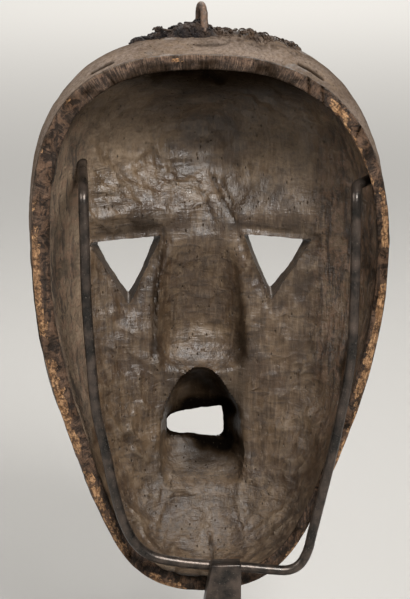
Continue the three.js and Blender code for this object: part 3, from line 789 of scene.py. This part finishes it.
def rim_values(part):
    """The same for the rim: dark handled wood, bare in stretches, cut across by its grain."""
    across, degrees, place = part["t"], part["degrees"], part["place"]
    patchy = layered_noise(place * 0.4, 95, 3)
    crown = smoothstep(degrees, 42, 62) * (1 - smoothstep(degrees, 115, 135))
    top = crown * smoothstep(across, 0.1, 0.5)
    # Painted highlight, with rubbed wear, along the rim's outer edge round the upper half and along its
    # inner edge all round.
    edges = 2.0 * smoothstep(degrees, -20, 20) * hump(across, 0.06, 0.06)
    edges = edges + 0.7 * hump(across, 0.93, 0.05)
    wear = np.maximum(rim_wear(degrees, across, place), 0.4 * part["chips"])
    soot = np.clip(0.35 + 0.6 * patchy + 0.8 * part["cracked"] + 0.5 * top, 0, 1.3)
    return finish_values(across, wear=wear, soot=soot, dust=0.05 + 0.15 * layered_noise(place, 97, 2),
                         polish=0.8, relief=0.4 * edges, side=1 - crown, on_rim=1.0,
                         run=part["run"], across=across)


def mask_values(face, hollow, rim):
    parts = (face_values(face), hollow_values(hollow), rim_values(rim))
    return {name: np.concatenate([np.ravel(part[name]) for part in parts]) for name in VALUE_NAMES}


def rounded_outline(corners, reach):
    """Places along a closed outline whose corners are rounded."""
    points = []
    for i, corner in enumerate(corners):
        before, following = corners[i - 1], corners[(i + 1) % len(corners)]
        onward = unit(following - corner)
        start, end = corner + unit(before - corner) * reach, corner + onward * reach
        for share in np.linspace(0, 1, 5):
            points.append((1 - share) ** 2 * start + 2 * share * (1 - share) * corner + share**2 * end)
        straight = following - onward * reach - end
        points += [end + straight * share for share in np.linspace(0, 1, 14)[1:-1]]
    return np.array(points)


def flared_cutter(name, corners, material, given_depth, flare, near, far, round_by, rough, soot):
    """A hole's cutter: a rounded outline that spreads towards the hollow, with a hand-cut wall."""
    middle = np.mean(corners, axis=0)
    shape = rounded_outline(np.array(corners), round_by) - middle
    depths = np.linspace(far, near, 15)
    rings = []
    for depth in depths:
        aside = shape * (1 + flare * (given_depth - depth))
        where = np.insert(middle + aside, 2, depth, axis=1)
        push = rough * (layered_noise(where / 4.5, 101, 3) + 0.5 * noise(where / 1.7, 105))
        aside = aside + unit(aside) * push[:, None]
        rings.append(to_world(*(middle + aside).T, depth))
    points = np.concatenate(rings)
    # The walls take painted shade: some in the eyes, near black in the mouth.
    values = finish_values(points[:, 0], soot=soot, dust=0.1, polish=-0.5)
    return mesh_object(name, points, loft_faces(len(depths), len(shape)), material, values)


def fill_values(mesh, passes=8):
    """Gives the points that a cut made the values of the points beside them."""
    values = {}
    for name in VALUE_NAMES:
        values[name] = np.empty(len(mesh.vertices), np.float32)
        mesh.attributes[name].data.foreach_get("value", values[name])
    edges = np.empty(2 * len(mesh.edges), np.int32)
    mesh.edges.foreach_get("vertices", edges)
    first, second = edges.reshape(-1, 2).T
    both_ways = ((first, second), (second, first))
    blank = (values["soot"] == 0) & (values["polish"] == 0)
    for _ in range(passes):
        known = np.zeros(len(blank))
        for here, beside in both_ways:
            np.add.at(known, here, ~blank[beside])
        filled = blank & (known > 0)
        for value in values.values():
            total = np.zeros(len(blank))
            for here, beside in both_ways:
                np.add.at(total, here, np.where(blank[beside], 0, value[beside]))
            value[filled] = total[filled] / known[filled]
        blank = blank & ~filled
    for name, value in values.items():
        mesh.attributes[name].data.foreach_set("value", value)


# Bars along curves

CURVE_STEPS = 24
END_WAIST = 0.6
END_REACH = 0.35


def catmull_rom(points, count):
    """Even places along a centripetal Catmull-Rom curve through the points."""
    points = np.asarray(points, float)
    padded = np.concatenate([[2 * points[0] - points[1]], points, [2 * points[-1] - points[-2]]])
    s = np.linspace(0, 1, CURVE_STEPS, endpoint=False)[:, None]
    fine = []
    for p0, p1, p2, p3 in zip(padded, padded[1:], padded[2:], padded[3:]):
        d0, d1, d2 = (np.linalg.norm(b - a) ** 0.5 for a, b in ((p0, p1), (p1, p2), (p2, p3)))
        t1 = ((p1 - p0) / d0 - (p2 - p0) / (d0 + d1) + (p2 - p1) / d1) * d1
        t2 = ((p2 - p1) / d1 - (p3 - p1) / (d1 + d2) + (p3 - p2) / d2) * d1
        squared, cubed = 3 * (p2 - p1) - 2 * t1 - t2, 2 * (p1 - p2) + t1 + t2
        fine.append(p1 + t1 * s + squared * s**2 + cubed * s**3)
    fine = np.concatenate([*fine, points[-1:]])
    length = np.concatenate([[0], np.cumsum(np.linalg.norm(np.diff(fine, axis=0), axis=1))])
    at = np.linspace(0, length[-1], count)
    return np.stack([np.interp(at, length, fine[:, k]) for k in range(3)], -1)


def tube(path, radius, sides, bumps=None):
    """Points and faces of a round bar with rounded ends, with one radius or one at each place."""
    path = np.asarray(path, float)
    radius = np.broadcast_to(radius, (len(path),)).astype(float)
    tangent = unit(np.gradient(path, axis=0))
    side = unit(np.cross(tangent[0], [0.3, 0.5, 0.8]))
    turn = np.linspace(0, 2 * np.pi, sides, endpoint=False)[:, None]
    rings = []
    for at, along, r in zip(path, tangent, radius):
        side = unit(side - along * (side @ along))
        rings.append(at + r * (np.cos(turn) * side + np.sin(turn) * np.cross(along, side)))
    start, finish = (
        path[k] + (rings[k] - path[k]) * END_WAIST + way * tangent[k] * radius[k] * END_REACH
        for k, way in ((0, -1), (-1, 1))
    )
    rings = [start, *rings, finish]
    points = np.concatenate(rings)
    if bumps is not None:
        centre = np.repeat(np.concatenate([path[:1], path, path[-1:]]), sides, axis=0)
        points = points + unit(points - centre) * bumps(points)[:, None]
    return points, loft_faces(len(rings), sides)


def rod_path():
    """Places along the cradle's rod, from one tip in the wood to the other."""
    def arm(x, z):
        return to_world(x * HALF_WIDTH, z * (CROWN_HEIGHT if z > 0 else CHIN_DROP), ROD_DEPTH)

    def hook(seat_at, arm_end):
        angle, rise, drop = seat_at
        seat = to_world(*dome_point(CAD_HOLLOW, np.radians(angle), np.radians(rise)))
        elbow = np.array([arm_end[0], arm_end[1] - ELBOW_SET_IN, seat[2] - drop])
        tip = seat + unit(seat - elbow) * RIM_WALL * SEAT_SHARE
        bend = np.array([arm_end[0], arm_end[1] - BEND_SET_IN, elbow[2] - BEND_DROP])
        return [tip, seat, (elbow + seat) / 2, elbow + 0.12 * (seat - elbow), bend]

    arms = [arm(*share) for share in ROD_SHAPE]
    return [*hook(HOOK_SEATS[0], arms[0]), *arms, *hook(HOOK_SEATS[1], arms[-1])[::-1]]


def crown_top(x):
    """Height of the wood's crest above the widest level, across the crown."""
    angle = np.arange(0.12, math.pi - 0.12, 0.005)
    crest_x, crest_z, _ = dome_point(FACE, angle, np.full(angle.shape, math.pi / 8))
    return np.interp(x, crest_x[::-1], crest_z[::-1])


def loop_path():
    """Places along the hanging loop, from one foot in the wood to the other."""
    wood = float(crown_top(LOOP_X))

    def at(across, z):
        aside, forward = across * math.cos(LOOP_TURN), across * math.sin(LOOP_TURN)
        return to_world(LOOP_X + aside, z, LOOP_DEPTH + forward)

    bend_z = wood + LOOP_PROUD - LOOP_HALF_GAP
    legs = ((1.25, wood - LOOP_SEAT), (1.1, (wood + bend_z) / 2))
    bend = [math.pi * (1 - i / 6) for i in range(7)]
    return [
        *[at(-share * LOOP_HALF_GAP, z) for share, z in legs],
        *[at(LOOP_HALF_GAP * math.cos(a), bend_z + LOOP_HALF_GAP * math.sin(a)) for a in bend],
        *[at(share * LOOP_HALF_GAP, z) for share, z in reversed(legs)],
    ]


# Materials

class Finish:
    """A node material, with short calls for the nodes that these finishes use."""

    def __init__(self, name):
        self.material = bpy.data.materials.new(name)
        self.material.use_nodes = True
        self.nodes = self.material.node_tree.nodes
        self.links = self.material.node_tree.links
        self.shader = self.nodes["Principled BSDF"]
        self.place = self.nodes.new("ShaderNodeTexCoord").outputs["Object"]

    def set(self, socket, value):
        if isinstance(value, bpy.types.NodeSocket):
            self.links.new(value, socket)
        else:
            socket.default_value = value

    def shade(self, name, value):
        self.set(self.shader.inputs[name], value)

    def node(self, kind, output, inputs, **settings):
        """The output of a new node."""
        node = self.nodes.new("ShaderNode" + kind)
        for name, setting in settings.items():
            setattr(node, name, setting)
        for name, value in inputs.items():
            self.set(node.inputs[name], value)
        return node.outputs[output]

    def scaled(self, scale):
        return self.node("Mapping", "Vector", {"Vector": self.place, "Scale": scale})

    def noise_at(self, place, scale, detail, rough, distort):
        return self.node("TexNoise", "Fac", {
            "Vector": place, "Scale": scale, "Detail": detail, "Roughness": rough,
            "Distortion": distort,
        })

    def noise(self, scale, detail, rough, stretch=(1, 1, 1), distort=0.0):
        return self.noise_at(self.scaled(stretch), scale, detail, rough, distort)

    def stroke_noise(self, along, across):
        """Noise in strokes across the rim, from the rim's own run and width."""
        place = self.node("CombineXYZ", "Vector", {
            "X": self.times(self.value("run"), along), "Y": self.times(self.value("across"), across),
        })
        return self.noise_at(place, 1.0, 4.0, 0.65, 0.8)

    def cells(self, scale, stretch):
        return self.node("TexVoronoi", "Distance", {"Vector": self.scaled(stretch), "Scale": scale})

    def value(self, name):
        return self.node("Attribute", "Fac", {}, attribute_name=name)

    def math(self, operation, a, b, clamp=False):
        return self.node("Math", 0, {0: a, 1: b}, operation=operation, use_clamp=clamp)

    def times(self, a, b):
        return self.math("MULTIPLY", a, b)

    def plus(self, a, b, clamp=False):
        return self.math("ADD", a, b, clamp)

    def between(self, value, low, high, start=0.0, end=1.0):
        """Maps a value from low to high smoothly onto start to end."""
        return self.node("MapRange", "Result", {
            "Value": value, "From Min": low, "From Max": high, "To Min": start, "To Max": end,
        }, interpolation_type="SMOOTHSTEP")

    def mix(self, share, a, b):
        colours = {6: colour_of(a), 7: colour_of(b)}
        return self.node("Mix", 2, {"Factor": share, **colours}, data_type="RGBA")

    def bump(self, height, distance, strength, under=None):
        inputs = {"Height": height, "Distance": distance, "Strength": strength}
        if under is not None:
            inputs["Normal"] = under
        return self.node("Bump", "Normal", inputs)


def colour_of(value):
    return value if isinstance(value, bpy.types.NodeSocket) else (*value, 1.0)


def wood_finish():
    """Old oiled hardwood: sooty and greasy in the hollow, dusty on the outside, bare on the rim, with
    painted shade in the hollow's recesses and painted light on its lit sides.
    """
    f = Finish("patinated_wood")
    wear, soot, dust, polish, relief, side, hollow, on_rim = map(f.value, SHARES)
    blotches = f.noise(42, 5, 0.62)
    clouds = f.noise(130, 5, 0.65, distort=0.5)
    streaks = f.noise(330, 5, 0.66, stretch=(1, 1, 0.12))
    fibres = f.noise(820, 3, 0.6, stretch=(1, 1, 0.12))
    ripples = f.noise(230, 4, 0.55, stretch=(0.4, 1, 1.5), distort=0.5)
    speckle = f.noise(1700, 3, 0.6)
    grit = f.noise(700, 5, 0.7)
    mottle = f.noise(240, 5, 0.7, distort=0.8)
    strokes = f.stroke_noise(1.7, 0.8)
    rim_grain = f.stroke_noise(0.2, 5.0)

    base = f.mix(f.between(blotches, 0.36, 0.66), (0.048, 0.027, 0.014), (0.098, 0.062, 0.034))
    for pattern, low, high, share, colour in (
        (clouds, 0.46, 0.68, 0.6, (0.135, 0.092, 0.054)),
        (streaks, 0.42, 0.62, 0.55, (0.024, 0.014, 0.008)),
        (ripples, 0.5, 0.64, 0.6, (0.024, 0.014, 0.008)),
        (fibres, 0.5, 0.7, 0.4, (0.155, 0.108, 0.066)),
    ):
        base = f.mix(f.between(pattern, low, high, 0, share), base, colour)
    rim_wood = f.mix(f.between(mottle, 0.4, 0.62), (0.024, 0.014, 0.009), (0.105, 0.062, 0.040))
    stroke_share = f.between(strokes, 0.48, 0.6, 0, 0.75)
    stroke_share = f.times(stroke_share, f.between(side, 0, 1, 1.0, 0.4))
    rim_wood = f.mix(stroke_share, rim_wood, (0.22, 0.145, 0.10))
    rim_wood = f.mix(f.between(grit, 0.5, 0.62, 0, 0.7), rim_wood, (0.017, 0.010, 0.007))
    base = f.mix(on_rim, base, rim_wood)
    # Dust greys the wood, and where its value is painted light this lighter colour lifts the lit sides.
    grey = f.times(f.between(dust, 0.05, 0.9), f.between(grit, 0.3, 0.65, 0.35, 1.0))
    dusty = f.mix(hollow, (0.225, 0.180, 0.150), (0.184, 0.131, 0.083))
    base = f.mix(f.times(grey, 0.8), base, dusty)
    # Painted shade in the hollows of the tool marks.
    low = f.times(f.between(relief, -0.7, -0.1, 1, 0), f.between(mottle, 0.3, 0.6, 0.3, 1.0))
    base = f.mix(f.times(low, 0.6), base, (0.020, 0.012, 0.007))
    # Painted highlight on the crests of the tool marks and along the rim's edges, with rubbed wear
    # there too.
    high = f.times(f.between(relief, 0.15, 0.9), f.between(grit, 0.35, 0.65, 0.1, 1.0))
    high = f.times(high, f.between(f.plus(hollow, on_rim), 0, 1, 0.12, 0.45))
    base = f.mix(high, base, (0.20, 0.150, 0.102))
    # Soot darkens the wood, and the same value paints shade under the crown's rim, in the mouth's
    # cavity, in the slots and on the openings' walls.
    dark = f.times(f.between(soot, 0.0, 1.0), f.between(streaks, 0.3, 0.7, 1.0, 0.75))
    base = f.mix(f.times(dark, 0.92), base, (0.011, 0.007, 0.004))
    # Near-black painted shade where that value is highest.
    base = f.mix(f.between(soot, 0.9, 1.7), base, (0.002, 0.0014, 0.001))
    reddish = f.times(side, f.between(mottle, 0.45, 0.6, 0.0, 0.6))
    base = f.mix(reddish, base, (0.15, 0.086, 0.052))
    fissures = f.times(side, f.between(streaks, 0.52, 0.6))
    base = f.mix(f.times(fissures, 0.7), base, (0.014, 0.009, 0.006))

    ragged = f.plus(wear, f.between(rim_grain, 0.3, 0.7, -0.2, 0.2))
    ragged = f.plus(ragged, f.between(mottle, 0.35, 0.65, 0.32, -0.32))
    bare_share = f.times(f.between(ragged, 0.42, 0.62), f.between(wear, 0.05, 0.3))
    bare = f.mix(f.between(rim_grain, 0.4, 0.62), (0.21, 0.11, 0.052), (0.47, 0.275, 0.14))
    bare = f.mix(f.between(grit, 0.47, 0.57, 0, 0.85), bare, (0.055, 0.028, 0.015))
    base = f.mix(bare_share, base, bare)

    pits = f.between(f.cells(480, (1, 1, 0.4)), 0.0, 0.22, 1, 0)
    pits = f.times(pits, f.between(clouds, 0.44, 0.56))
    base = f.mix(f.times(pits, 0.8), base, (0.012, 0.008, 0.005))
    base = f.mix(f.between(speckle, 0.69, 0.77, 0, 0.5), base, (0.36, 0.295, 0.22))
    f.shade("Base Color", base)

    rough = f.between(clouds, 0.35, 0.65, 0.34, 0.47)
    rough = f.math("SUBTRACT", rough, f.times(polish, 0.08))
    rough = f.plus(rough, f.times(on_rim, 0.16))
    rough = f.plus(rough, f.times(f.between(fibres, 0.4, 0.7), 0.1))
    rough = f.plus(rough, f.times(f.between(dust, 0.4, 1.0), 0.4), clamp=True)
    f.shade("Roughness", rough)
    matte = f.times(dust, f.math("SUBTRACT", 1.0, hollow))
    sheen = f.between(soot, 0.3, 1.3, 0.58, 0.0)
    sheen = f.times(sheen, f.between(matte, 0.15, 0.5, 1.0, 0.0))
    sheen = f.times(sheen, f.between(on_rim, 0, 1, 1.0, 0.4))
    f.shade("Specular IOR Level", sheen)

    upright = f.times(streaks, f.plus(f.times(side, 2.0), 0.8))
    normal = f.bump(upright, 0.0012, 0.6)
    normal = f.bump(fibres, 0.0004, 0.4, normal)
    normal = f.bump(grit, 0.0006, 0.25, normal)
    glossy = f.times(hollow, f.plus(f.times(polish, 0.7), 0.25))
    for pattern, share, distance, strength in (
        (ripples, glossy, 0.0024, 0.7), (strokes, on_rim, 0.0010, 0.7), (mottle, on_rim, 0.0022, 0.6),
        (pits, -1.0, 0.0008, 0.9), (mottle, side, 0.0022, 0.5),
    ):
        normal = f.bump(f.times(pattern, share), distance, strength, normal)
    f.shade("Normal", normal)
    return f.material


def steel_finish():
    """Blackened steel: satin, with rubbed specks."""
    f = Finish("blackened_steel")
    patches = f.noise(120, 4, 0.6)
    specks = f.noise(1300, 3, 0.6)
    base = f.mix(f.between(patches, 0.35, 0.7), (0.018, 0.016, 0.014), (0.088, 0.066, 0.053))
    base = f.mix(f.between(specks, 0.6, 0.74, 0, 0.7), base, (0.24, 0.205, 0.175))
    f.shade("Base Color", base)
    f.shade("Metallic", 0.6)
    f.shade("Roughness", f.between(patches, 0.3, 0.7, 0.26, 0.4))
    f.shade("Normal", f.bump(f.noise(700, 4, 0.6), 0.0003, 0.35))
    return f.material


def iron_finish():
    """Old hand-forged iron with brown rust."""
    f = Finish("rusted_iron")
    patches = f.noise(260, 5, 0.65)
    base = f.mix(f.between(patches, 0.38, 0.64), (0.06, 0.045, 0.037), (0.17, 0.105, 0.07))
    base = f.mix(f.between(f.noise(900, 3, 0.6), 0.55, 0.72, 0, 0.7), base, (0.26, 0.2, 0.16))
    f.shade("Base Color", base)
    f.shade("Metallic", 0.35)
    f.shade("Roughness", f.between(patches, 0.3, 0.7, 0.55, 0.8))
    f.shade("Normal", f.bump(f.noise(650, 5, 0.7), 0.0006, 0.7))
    return f.material


def fibre_finish():
    """Twisted plant fibre, black with soil and resin, and crusted brown towards one end."""
    f = Finish("matted_fibre")
    along = f.node("SeparateXYZ", "X", {"Vector": f.place})
    patches = f.noise(170, 4, 0.6)
    lumps = f.noise(600, 5, 0.7)
    crusted = f.between(along, -0.022, 0.008, 0.75, 0.0)
    crusted = f.plus(crusted, f.between(patches, 0.35, 0.65, -0.25, 0.25), clamp=True)
    base = f.mix(f.between(patches, 0.4, 0.62), (0.007, 0.005, 0.005), (0.026, 0.018, 0.015))
    base = f.mix(crusted, base, (0.062, 0.039, 0.024))
    base = f.mix(f.between(lumps, 0.56, 0.72, 0, 0.5), base, (0.10, 0.07, 0.048))
    f.shade("Base Color", base)
    f.shade("Roughness", f.between(lumps, 0.3, 0.7, 0.5, 0.85))
    f.shade("Specular IOR Level", 0.18)
    f.shade("Normal", f.bump(lumps, 0.0009, 0.8))
    return f.material


def floor_finish():
    f = Finish("pale_floor")
    f.shade("Base Color", (0.40, 0.392, 0.378, 1))
    f.shade("Roughness", 0.9)
    f.shade("Specular IOR Level", 0.15)
    return f.material


# Pieces

def settle(obj, slot, *nodes):
    """The piece rides with the part and stands for its solids. Its slot is not used."""
    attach(obj, "root")
    if nodes:
        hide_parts(*nodes)
    return obj


EDGE_ANGLE = math.radians(48)  # the mask's edges are shaded as sharp from here


def make_mask(wood):
    face, hollow = dome_layer(FACE), dome_layer(HOLLOW)
    rim = rim_strip(face, hollow)
    points = np.concatenate([part["points"].reshape(-1, 3) for part in (face, hollow, rim)])
    layer = (COLUMNS + 1) * (ROWS + 1)
    faces = grid_faces(0, True) + grid_faces(layer, False)
    rows, columns = ring_order().T
    edge = rows * (COLUMNS + 1) + columns
    over = [2 * layer + k * len(edge) + np.arange(len(edge)) for k in range(RIM_RINGS - 1)]
    rings = [edge, *over, layer + edge]
    for ring, following in zip(rings, rings[1:]):
        faces += ring_faces(ring, following)
    mask = mesh_object("carved_mask", points, faces, wood, mask_values(face, hollow, rim))

    cutters = [flared_cutter("eye_cut", corners, wood, **EYE_CUT) for corners in (LEFT_EYE, RIGHT_EYE)]
    cutters.append(flared_cutter("mouth_cut", mouth_corners(), wood, **MOUTH_CUT))
    for bar, count, radius in ((rod_path(), 90, ROD_RADIUS), (loop_path(), 40, LOOP_RADIUS)):
        seat = tube(catmull_rom(bar, count), radius + CLEARANCE, 12)
        cutters.append(mesh_object("bar_cut", *seat, wood))
    for cutter in cutters:
        cut = mask.modifiers.new("cut", "BOOLEAN")
        cut.operation = "DIFFERENCE"
        cut.solver = "MANIFOLD"
        cut.object = cutter
        apply_modifiers(mask)
        bpy.data.objects.remove(cutter)
    fill_values(mask.data)
    mask.data.set_sharp_from_angle(angle=EDGE_ANGLE)
    return settle(mask, "mask_wood", "mask")


def apply_modifiers(obj):
    """Keeps the mesh that the object's modifiers make, and drops the modifiers."""
    graph = bpy.context.evaluated_depsgraph_get()
    made = bpy.data.meshes.new_from_object(obj.evaluated_get(graph))
    old = obj.data
    obj.modifiers.clear()
    obj.data = made
    bpy.data.meshes.remove(old)


def make_rod(steel):
    def dents(points):
        return 0.035 * noise(points / 4, 121)

    bar = tube(catmull_rom(rod_path(), 420), ROD_RADIUS, 24, dents)
    return settle(mesh_object("cradle_bent_rod", *bar, steel), "cradle_steel", "cradle_rod")


def make_loop(iron):
    def hammered(points):
        return 0.16 * layered_noise(points / 2.2, 131, 3)

    bar = tube(catmull_rom(loop_path(), 110), LOOP_RADIUS - 0.1, 18, hammered)
    return settle(mesh_object("forged_hanging_loop", *bar, iron), "loop_iron", "hanging_loop")


def bevelled_prism(name, corners, low, high, axis, width, material):
    """A prism from an outline, pushed along the axis of that number, with worn edges."""
    bm = bmesh.new()
    ends = []
    for at in (low, high):
        ring = [bm.verts.new(Vector(np.insert(corner, axis, at)) * MM) for corner in corners]
        ends.append(ring)
        bm.faces.new(ring)
    for i in range(len(corners)):
        j = (i + 1) % len(corners)
        bm.faces.new((ends[0][i], ends[0][j], ends[1][j], ends[1][i]))
    bmesh.ops.recalc_face_normals(bm, faces=bm.faces)
    sharp = [edge for edge in bm.edges if edge.calc_face_angle(0) > math.radians(30)]
    bmesh.ops.bevel(bm, geom=sharp, offset=width * MM, segments=3, profile=0.5, affect="EDGES")
    mesh = bpy.data.meshes.new(name)
    bm.to_mesh(mesh)
    bm.free()
    mesh.polygons.foreach_set("use_smooth", [True] * len(mesh.polygons))
    mesh.set_sharp_from_angle(angle=math.radians(40))
    mesh.materials.append(material)
    return new_object(name, mesh)


def make_post(steel):
    low, high = (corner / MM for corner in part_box("cradle_post"))
    right, bevel_z = POST_SIDE_X + POST_WIDTH, high.z - POST_BEVEL_HEIGHT
    corners = [
        (POST_SIDE_X, low.z), (right, low.z), (right, bevel_z),
        (POST_SIDE_X + POST_TOP_WIDTH, high.z), (POST_SIDE_X, high.z),
    ]
    post = bevelled_prism("cradle_flat_post", corners, low.y, high.y, 1, POST_EDGE, steel)
    return settle(post, "cradle_steel", "cradle_post")


def make_foot(steel):
    low, high = (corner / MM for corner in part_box("cradle_foot"))
    corners = []
    for sign_x, sign_y, start in ((1, -1, -90), (1, 1, 0), (-1, 1, 90), (-1, -1, 180)):
        for step in range(9):
            angle = math.radians(start + 90 * step / 8)
            corners.append((sign_x * (high.x - FOOT_CORNER) + FOOT_CORNER * math.cos(angle),
                            sign_y * (high.y - FOOT_CORNER) + FOOT_CORNER * math.sin(angle)))
    foot = bevelled_prism("cradle_foot_plate", corners, low.z, high.z, 2, FOOT_EDGE, steel)
    return settle(foot, "cradle_steel", "cradle_foot")


def band_point(share, angle, sink=0.0):
    """A point of the band's surface at a share along it and an angle round its section."""
    x = BAND_ENDS[0] + (BAND_ENDS[1] - BAND_ENDS[0]) * share
    taper = 0.3 + 0.7 * np.sin(np.pi * share) ** 0.35
    lump = 1 + 0.22 * np.sin(share * 21) + 0.13 * np.sin(share * 47 + 1)
    half = (BAND_FRONT - BAND_BACK) / 2 * (0.55 + 0.45 * taper)
    up, reach = np.sin(angle), np.cos(angle)
    reach = reach * np.where(reach < 0, 1 + 0.3 * smoothstep(share, 0.5, 0.7), 1)
    thin = 1.3 - 0.75 * smoothstep(share, 0.42, 0.6)
    thin = thin * (0.45 + 0.55 * smoothstep(share, 0.08, 0.26))
    height = np.where(up > 0, BAND_THICK * taper * lump * thin, BAND_UNDERSIDE)
    depth = (BAND_FRONT + BAND_BACK) / 2 + half * reach
    return to_world(x, crown_top(x) - 4 * reach**2 + (height - sink) * up, depth)


def make_crust(fibre):
    slices, sides = 190, 72
    turns = np.linspace(0, 2 * np.pi, sides, endpoint=False)
    share, turn = np.meshgrid(np.linspace(0.004, 0.996, slices), turns, indexing="ij")
    points = band_point(share, turn)
    outward = unit(points - points.mean(1, keepdims=True))
    rough = 1.1 * layered_noise(points / 5, 141, 3) - 0.3
    rough = rough + 0.8 * np.abs(layered_noise(points / 1.9, 145, 3))
    upper = smoothstep(np.sin(turn), -0.15, 0.2)
    points = (points + outward * (rough * upper)[..., None]).reshape(-1, 3)
    crust = mesh_object("fibre_crust", points, loft_faces(slices, sides), fibre)
    return settle(crust, "fibre", "fibre_band")


def place_on_band(share, angle, lift):
    return band_point(np.array([share]), np.array([angle]), -lift)[0]


def strand_path(rng):
    """A loose strand that lies on the band, and its radius."""
    along = rng.beta(0.8, 1.1)
    reach = rng.uniform(0.03, 0.14)
    t = np.linspace(0, 1, 13)
    course = along + reach * (t - 0.5) * rng.choice((-1, 1))
    course = course + 0.012 * np.sin(t * rng.uniform(4, 12) + rng.uniform(0, 6))
    angle = rng.uniform(0.2, 2.95) + rng.uniform(-0.9, 0.9) * (t - 0.5)
    angle = angle + 0.25 * np.sin(t * rng.uniform(5, 14))
    lift = rng.uniform(-0.4, 1.0) * np.sin(np.pi * t) + 0.3
    path = band_point(np.clip(course, 0.01, 0.99), np.clip(angle, 0.1, 3.05), -lift)
    return path, rng.uniform(0.25, 0.5)


def knot_path(rng, share, angle, lift):
    """A short strand that is curled tight upon itself, and its radius."""
    middle = place_on_band(share, angle, lift)
    axis = unit(rng.normal(size=3))
    side = unit(np.cross(axis, [0.2, 0.9, 0.4]))
    turn = np.linspace(0, rng.uniform(7, 12), 22)[:, None]
    reach = rng.uniform(0.4, 0.75)
    curl = reach * (np.cos(turn) * side + np.sin(turn) * np.cross(axis, side))
    along = axis * (turn / turn[-1] - 0.5) * rng.uniform(1.2, 2.6)
    return middle + curl + along, rng.uniform(0.4, 0.6)


# The strand that sticks out at the left: its places as a share along the band and a height over it
LOOSE_END = ((0.26, 0.0), (0.22, 1.5), (0.185, 2.3), (0.15, 2.7))
LOOSE_ANGLE = 1.9


def make_strands(fibre):
    rng = np.random.default_rng(151)
    bars = [strand_path(rng) for _ in range(STRANDS)]
    for _ in range(KNOTS):
        share = rng.beta(0.9, 1.6)
        bars.append(knot_path(rng, share, rng.uniform(0.5, 2.7), rng.uniform(-0.1, 0.7)))
    loose = [place_on_band(share, LOOSE_ANGLE, lift) for share, lift in LOOSE_END]
    bars.append((catmull_rom(loose, 14), 0.55))
    bars += [knot_path(rng, 0.145 + 0.012 * step, LOOSE_ANGLE, 2.7) for step in range(4)]
    for _ in range(CRUMBS):
        edge = rng.choice((-0.12, 3.26)) + rng.normal() * 0.16
        at = place_on_band(rng.uniform(0.02, 0.98), edge, 0.4)
        middle = at + rng.normal(size=3) * np.array([1.4, 0.7, 0.3])
        course = middle + np.outer(np.linspace(-1, 1, 4), rng.normal(size=3) * 0.3)
        bars.append((course, rng.uniform(0.3, 0.7)))
    all_points, all_faces, start = [], [], 0
    for path, thick in bars:
        swell = 0.5 + 0.5 * np.sin(np.pi * np.linspace(0.08, 0.92, len(path)))
        points, faces = tube(path, thick * swell, 6)
        all_points.append(points)
        all_faces += [tuple(i + start for i in face) for face in faces]
        start += len(points)
    strands = mesh_object("fibre_strands", np.concatenate(all_points), all_faces, fibre)
    return settle(strands, "fibre")


# Stage, light and camera

CAMERA_PLACE = Vector((0.0565, 0.8043, 0.4070))
CAMERA_TARGET = Vector((0.0024, 0.030, 0.2135))
FOCAL_PIXELS = 1846.0
PICTURE_HEIGHT = 599.0
SENSOR = 36.0
MASK_MIDDLE = (0, 0, 0.22)
WARM_WHITE = (1.0, 0.98, 0.955)


def aim(obj, target):
    obj.rotation_euler = (Vector(target) - obj.location).to_track_quat("-Z", "Y").to_euler()


def make_camera():
    data = bpy.data.cameras.new("camera")
    data.sensor_width = SENSOR
    data.lens = SENSOR * FOCAL_PIXELS / PICTURE_HEIGHT
    camera = new_object("camera", data)
    camera.location = CAMERA_PLACE
    aim(camera, CAMERA_TARGET)
    bpy.context.scene.camera = camera


def area_light(name, place, target, size, power, colour=WARM_WHITE):
    light = bpy.data.lights.new(name, "AREA")
    light.shape = "DISK"
    light.size = size
    light.energy = power
    light.color = colour
    obj = new_object(name, light)
    obj.location = place
    aim(obj, target)
    return light


def make_stage():
    corners = np.array([(-9, -9, 0), (9, -9, 0), (9, 9, 0), (-9, 9, 0)]) / MM
    floor = mesh_object("floor", corners, [(0, 1, 2, 3)], floor_finish(), solid=False)
    world = bpy.data.worlds.new("soft_light")
    world.use_nodes = True
    background = world.node_tree.nodes["Background"]
    background.inputs["Color"].default_value = (1.0, 0.975, 0.945, 1)
    background.inputs["Strength"].default_value = 0.1
    bpy.context.scene.world = world
    bpy.context.scene.view_settings.view_transform = "Standard"
    area_light("key", (-0.29, 1.0, 1.02), MASK_MIDDLE, 0.42, 26.5)
    area_light("side_light", (1.0, 0.5, 0.8), MASK_MIDDLE, 0.5, 7)
    near_fill = area_light("near_fill", (0.0, -0.8, 1.7), (-0.05, -0.45, 0), 0.8, 2.1)
    near_fill.spread = math.radians(60)
    area_light("far_fill", (-0.5, -4.2, 3.2), (0.0, -3.8, 0), 2.8, 258, (1.0, 0.985, 0.96))


def main():
    make_camera()
    make_stage()
    wood, steel = wood_finish(), steel_finish()
    make_mask(wood)
    make_rod(steel)
    make_post(steel)
    make_foot(steel)
    make_loop(iron_finish())
    fibre = fibre_finish()
    make_crust(fibre)
    make_strands(fibre)


main()
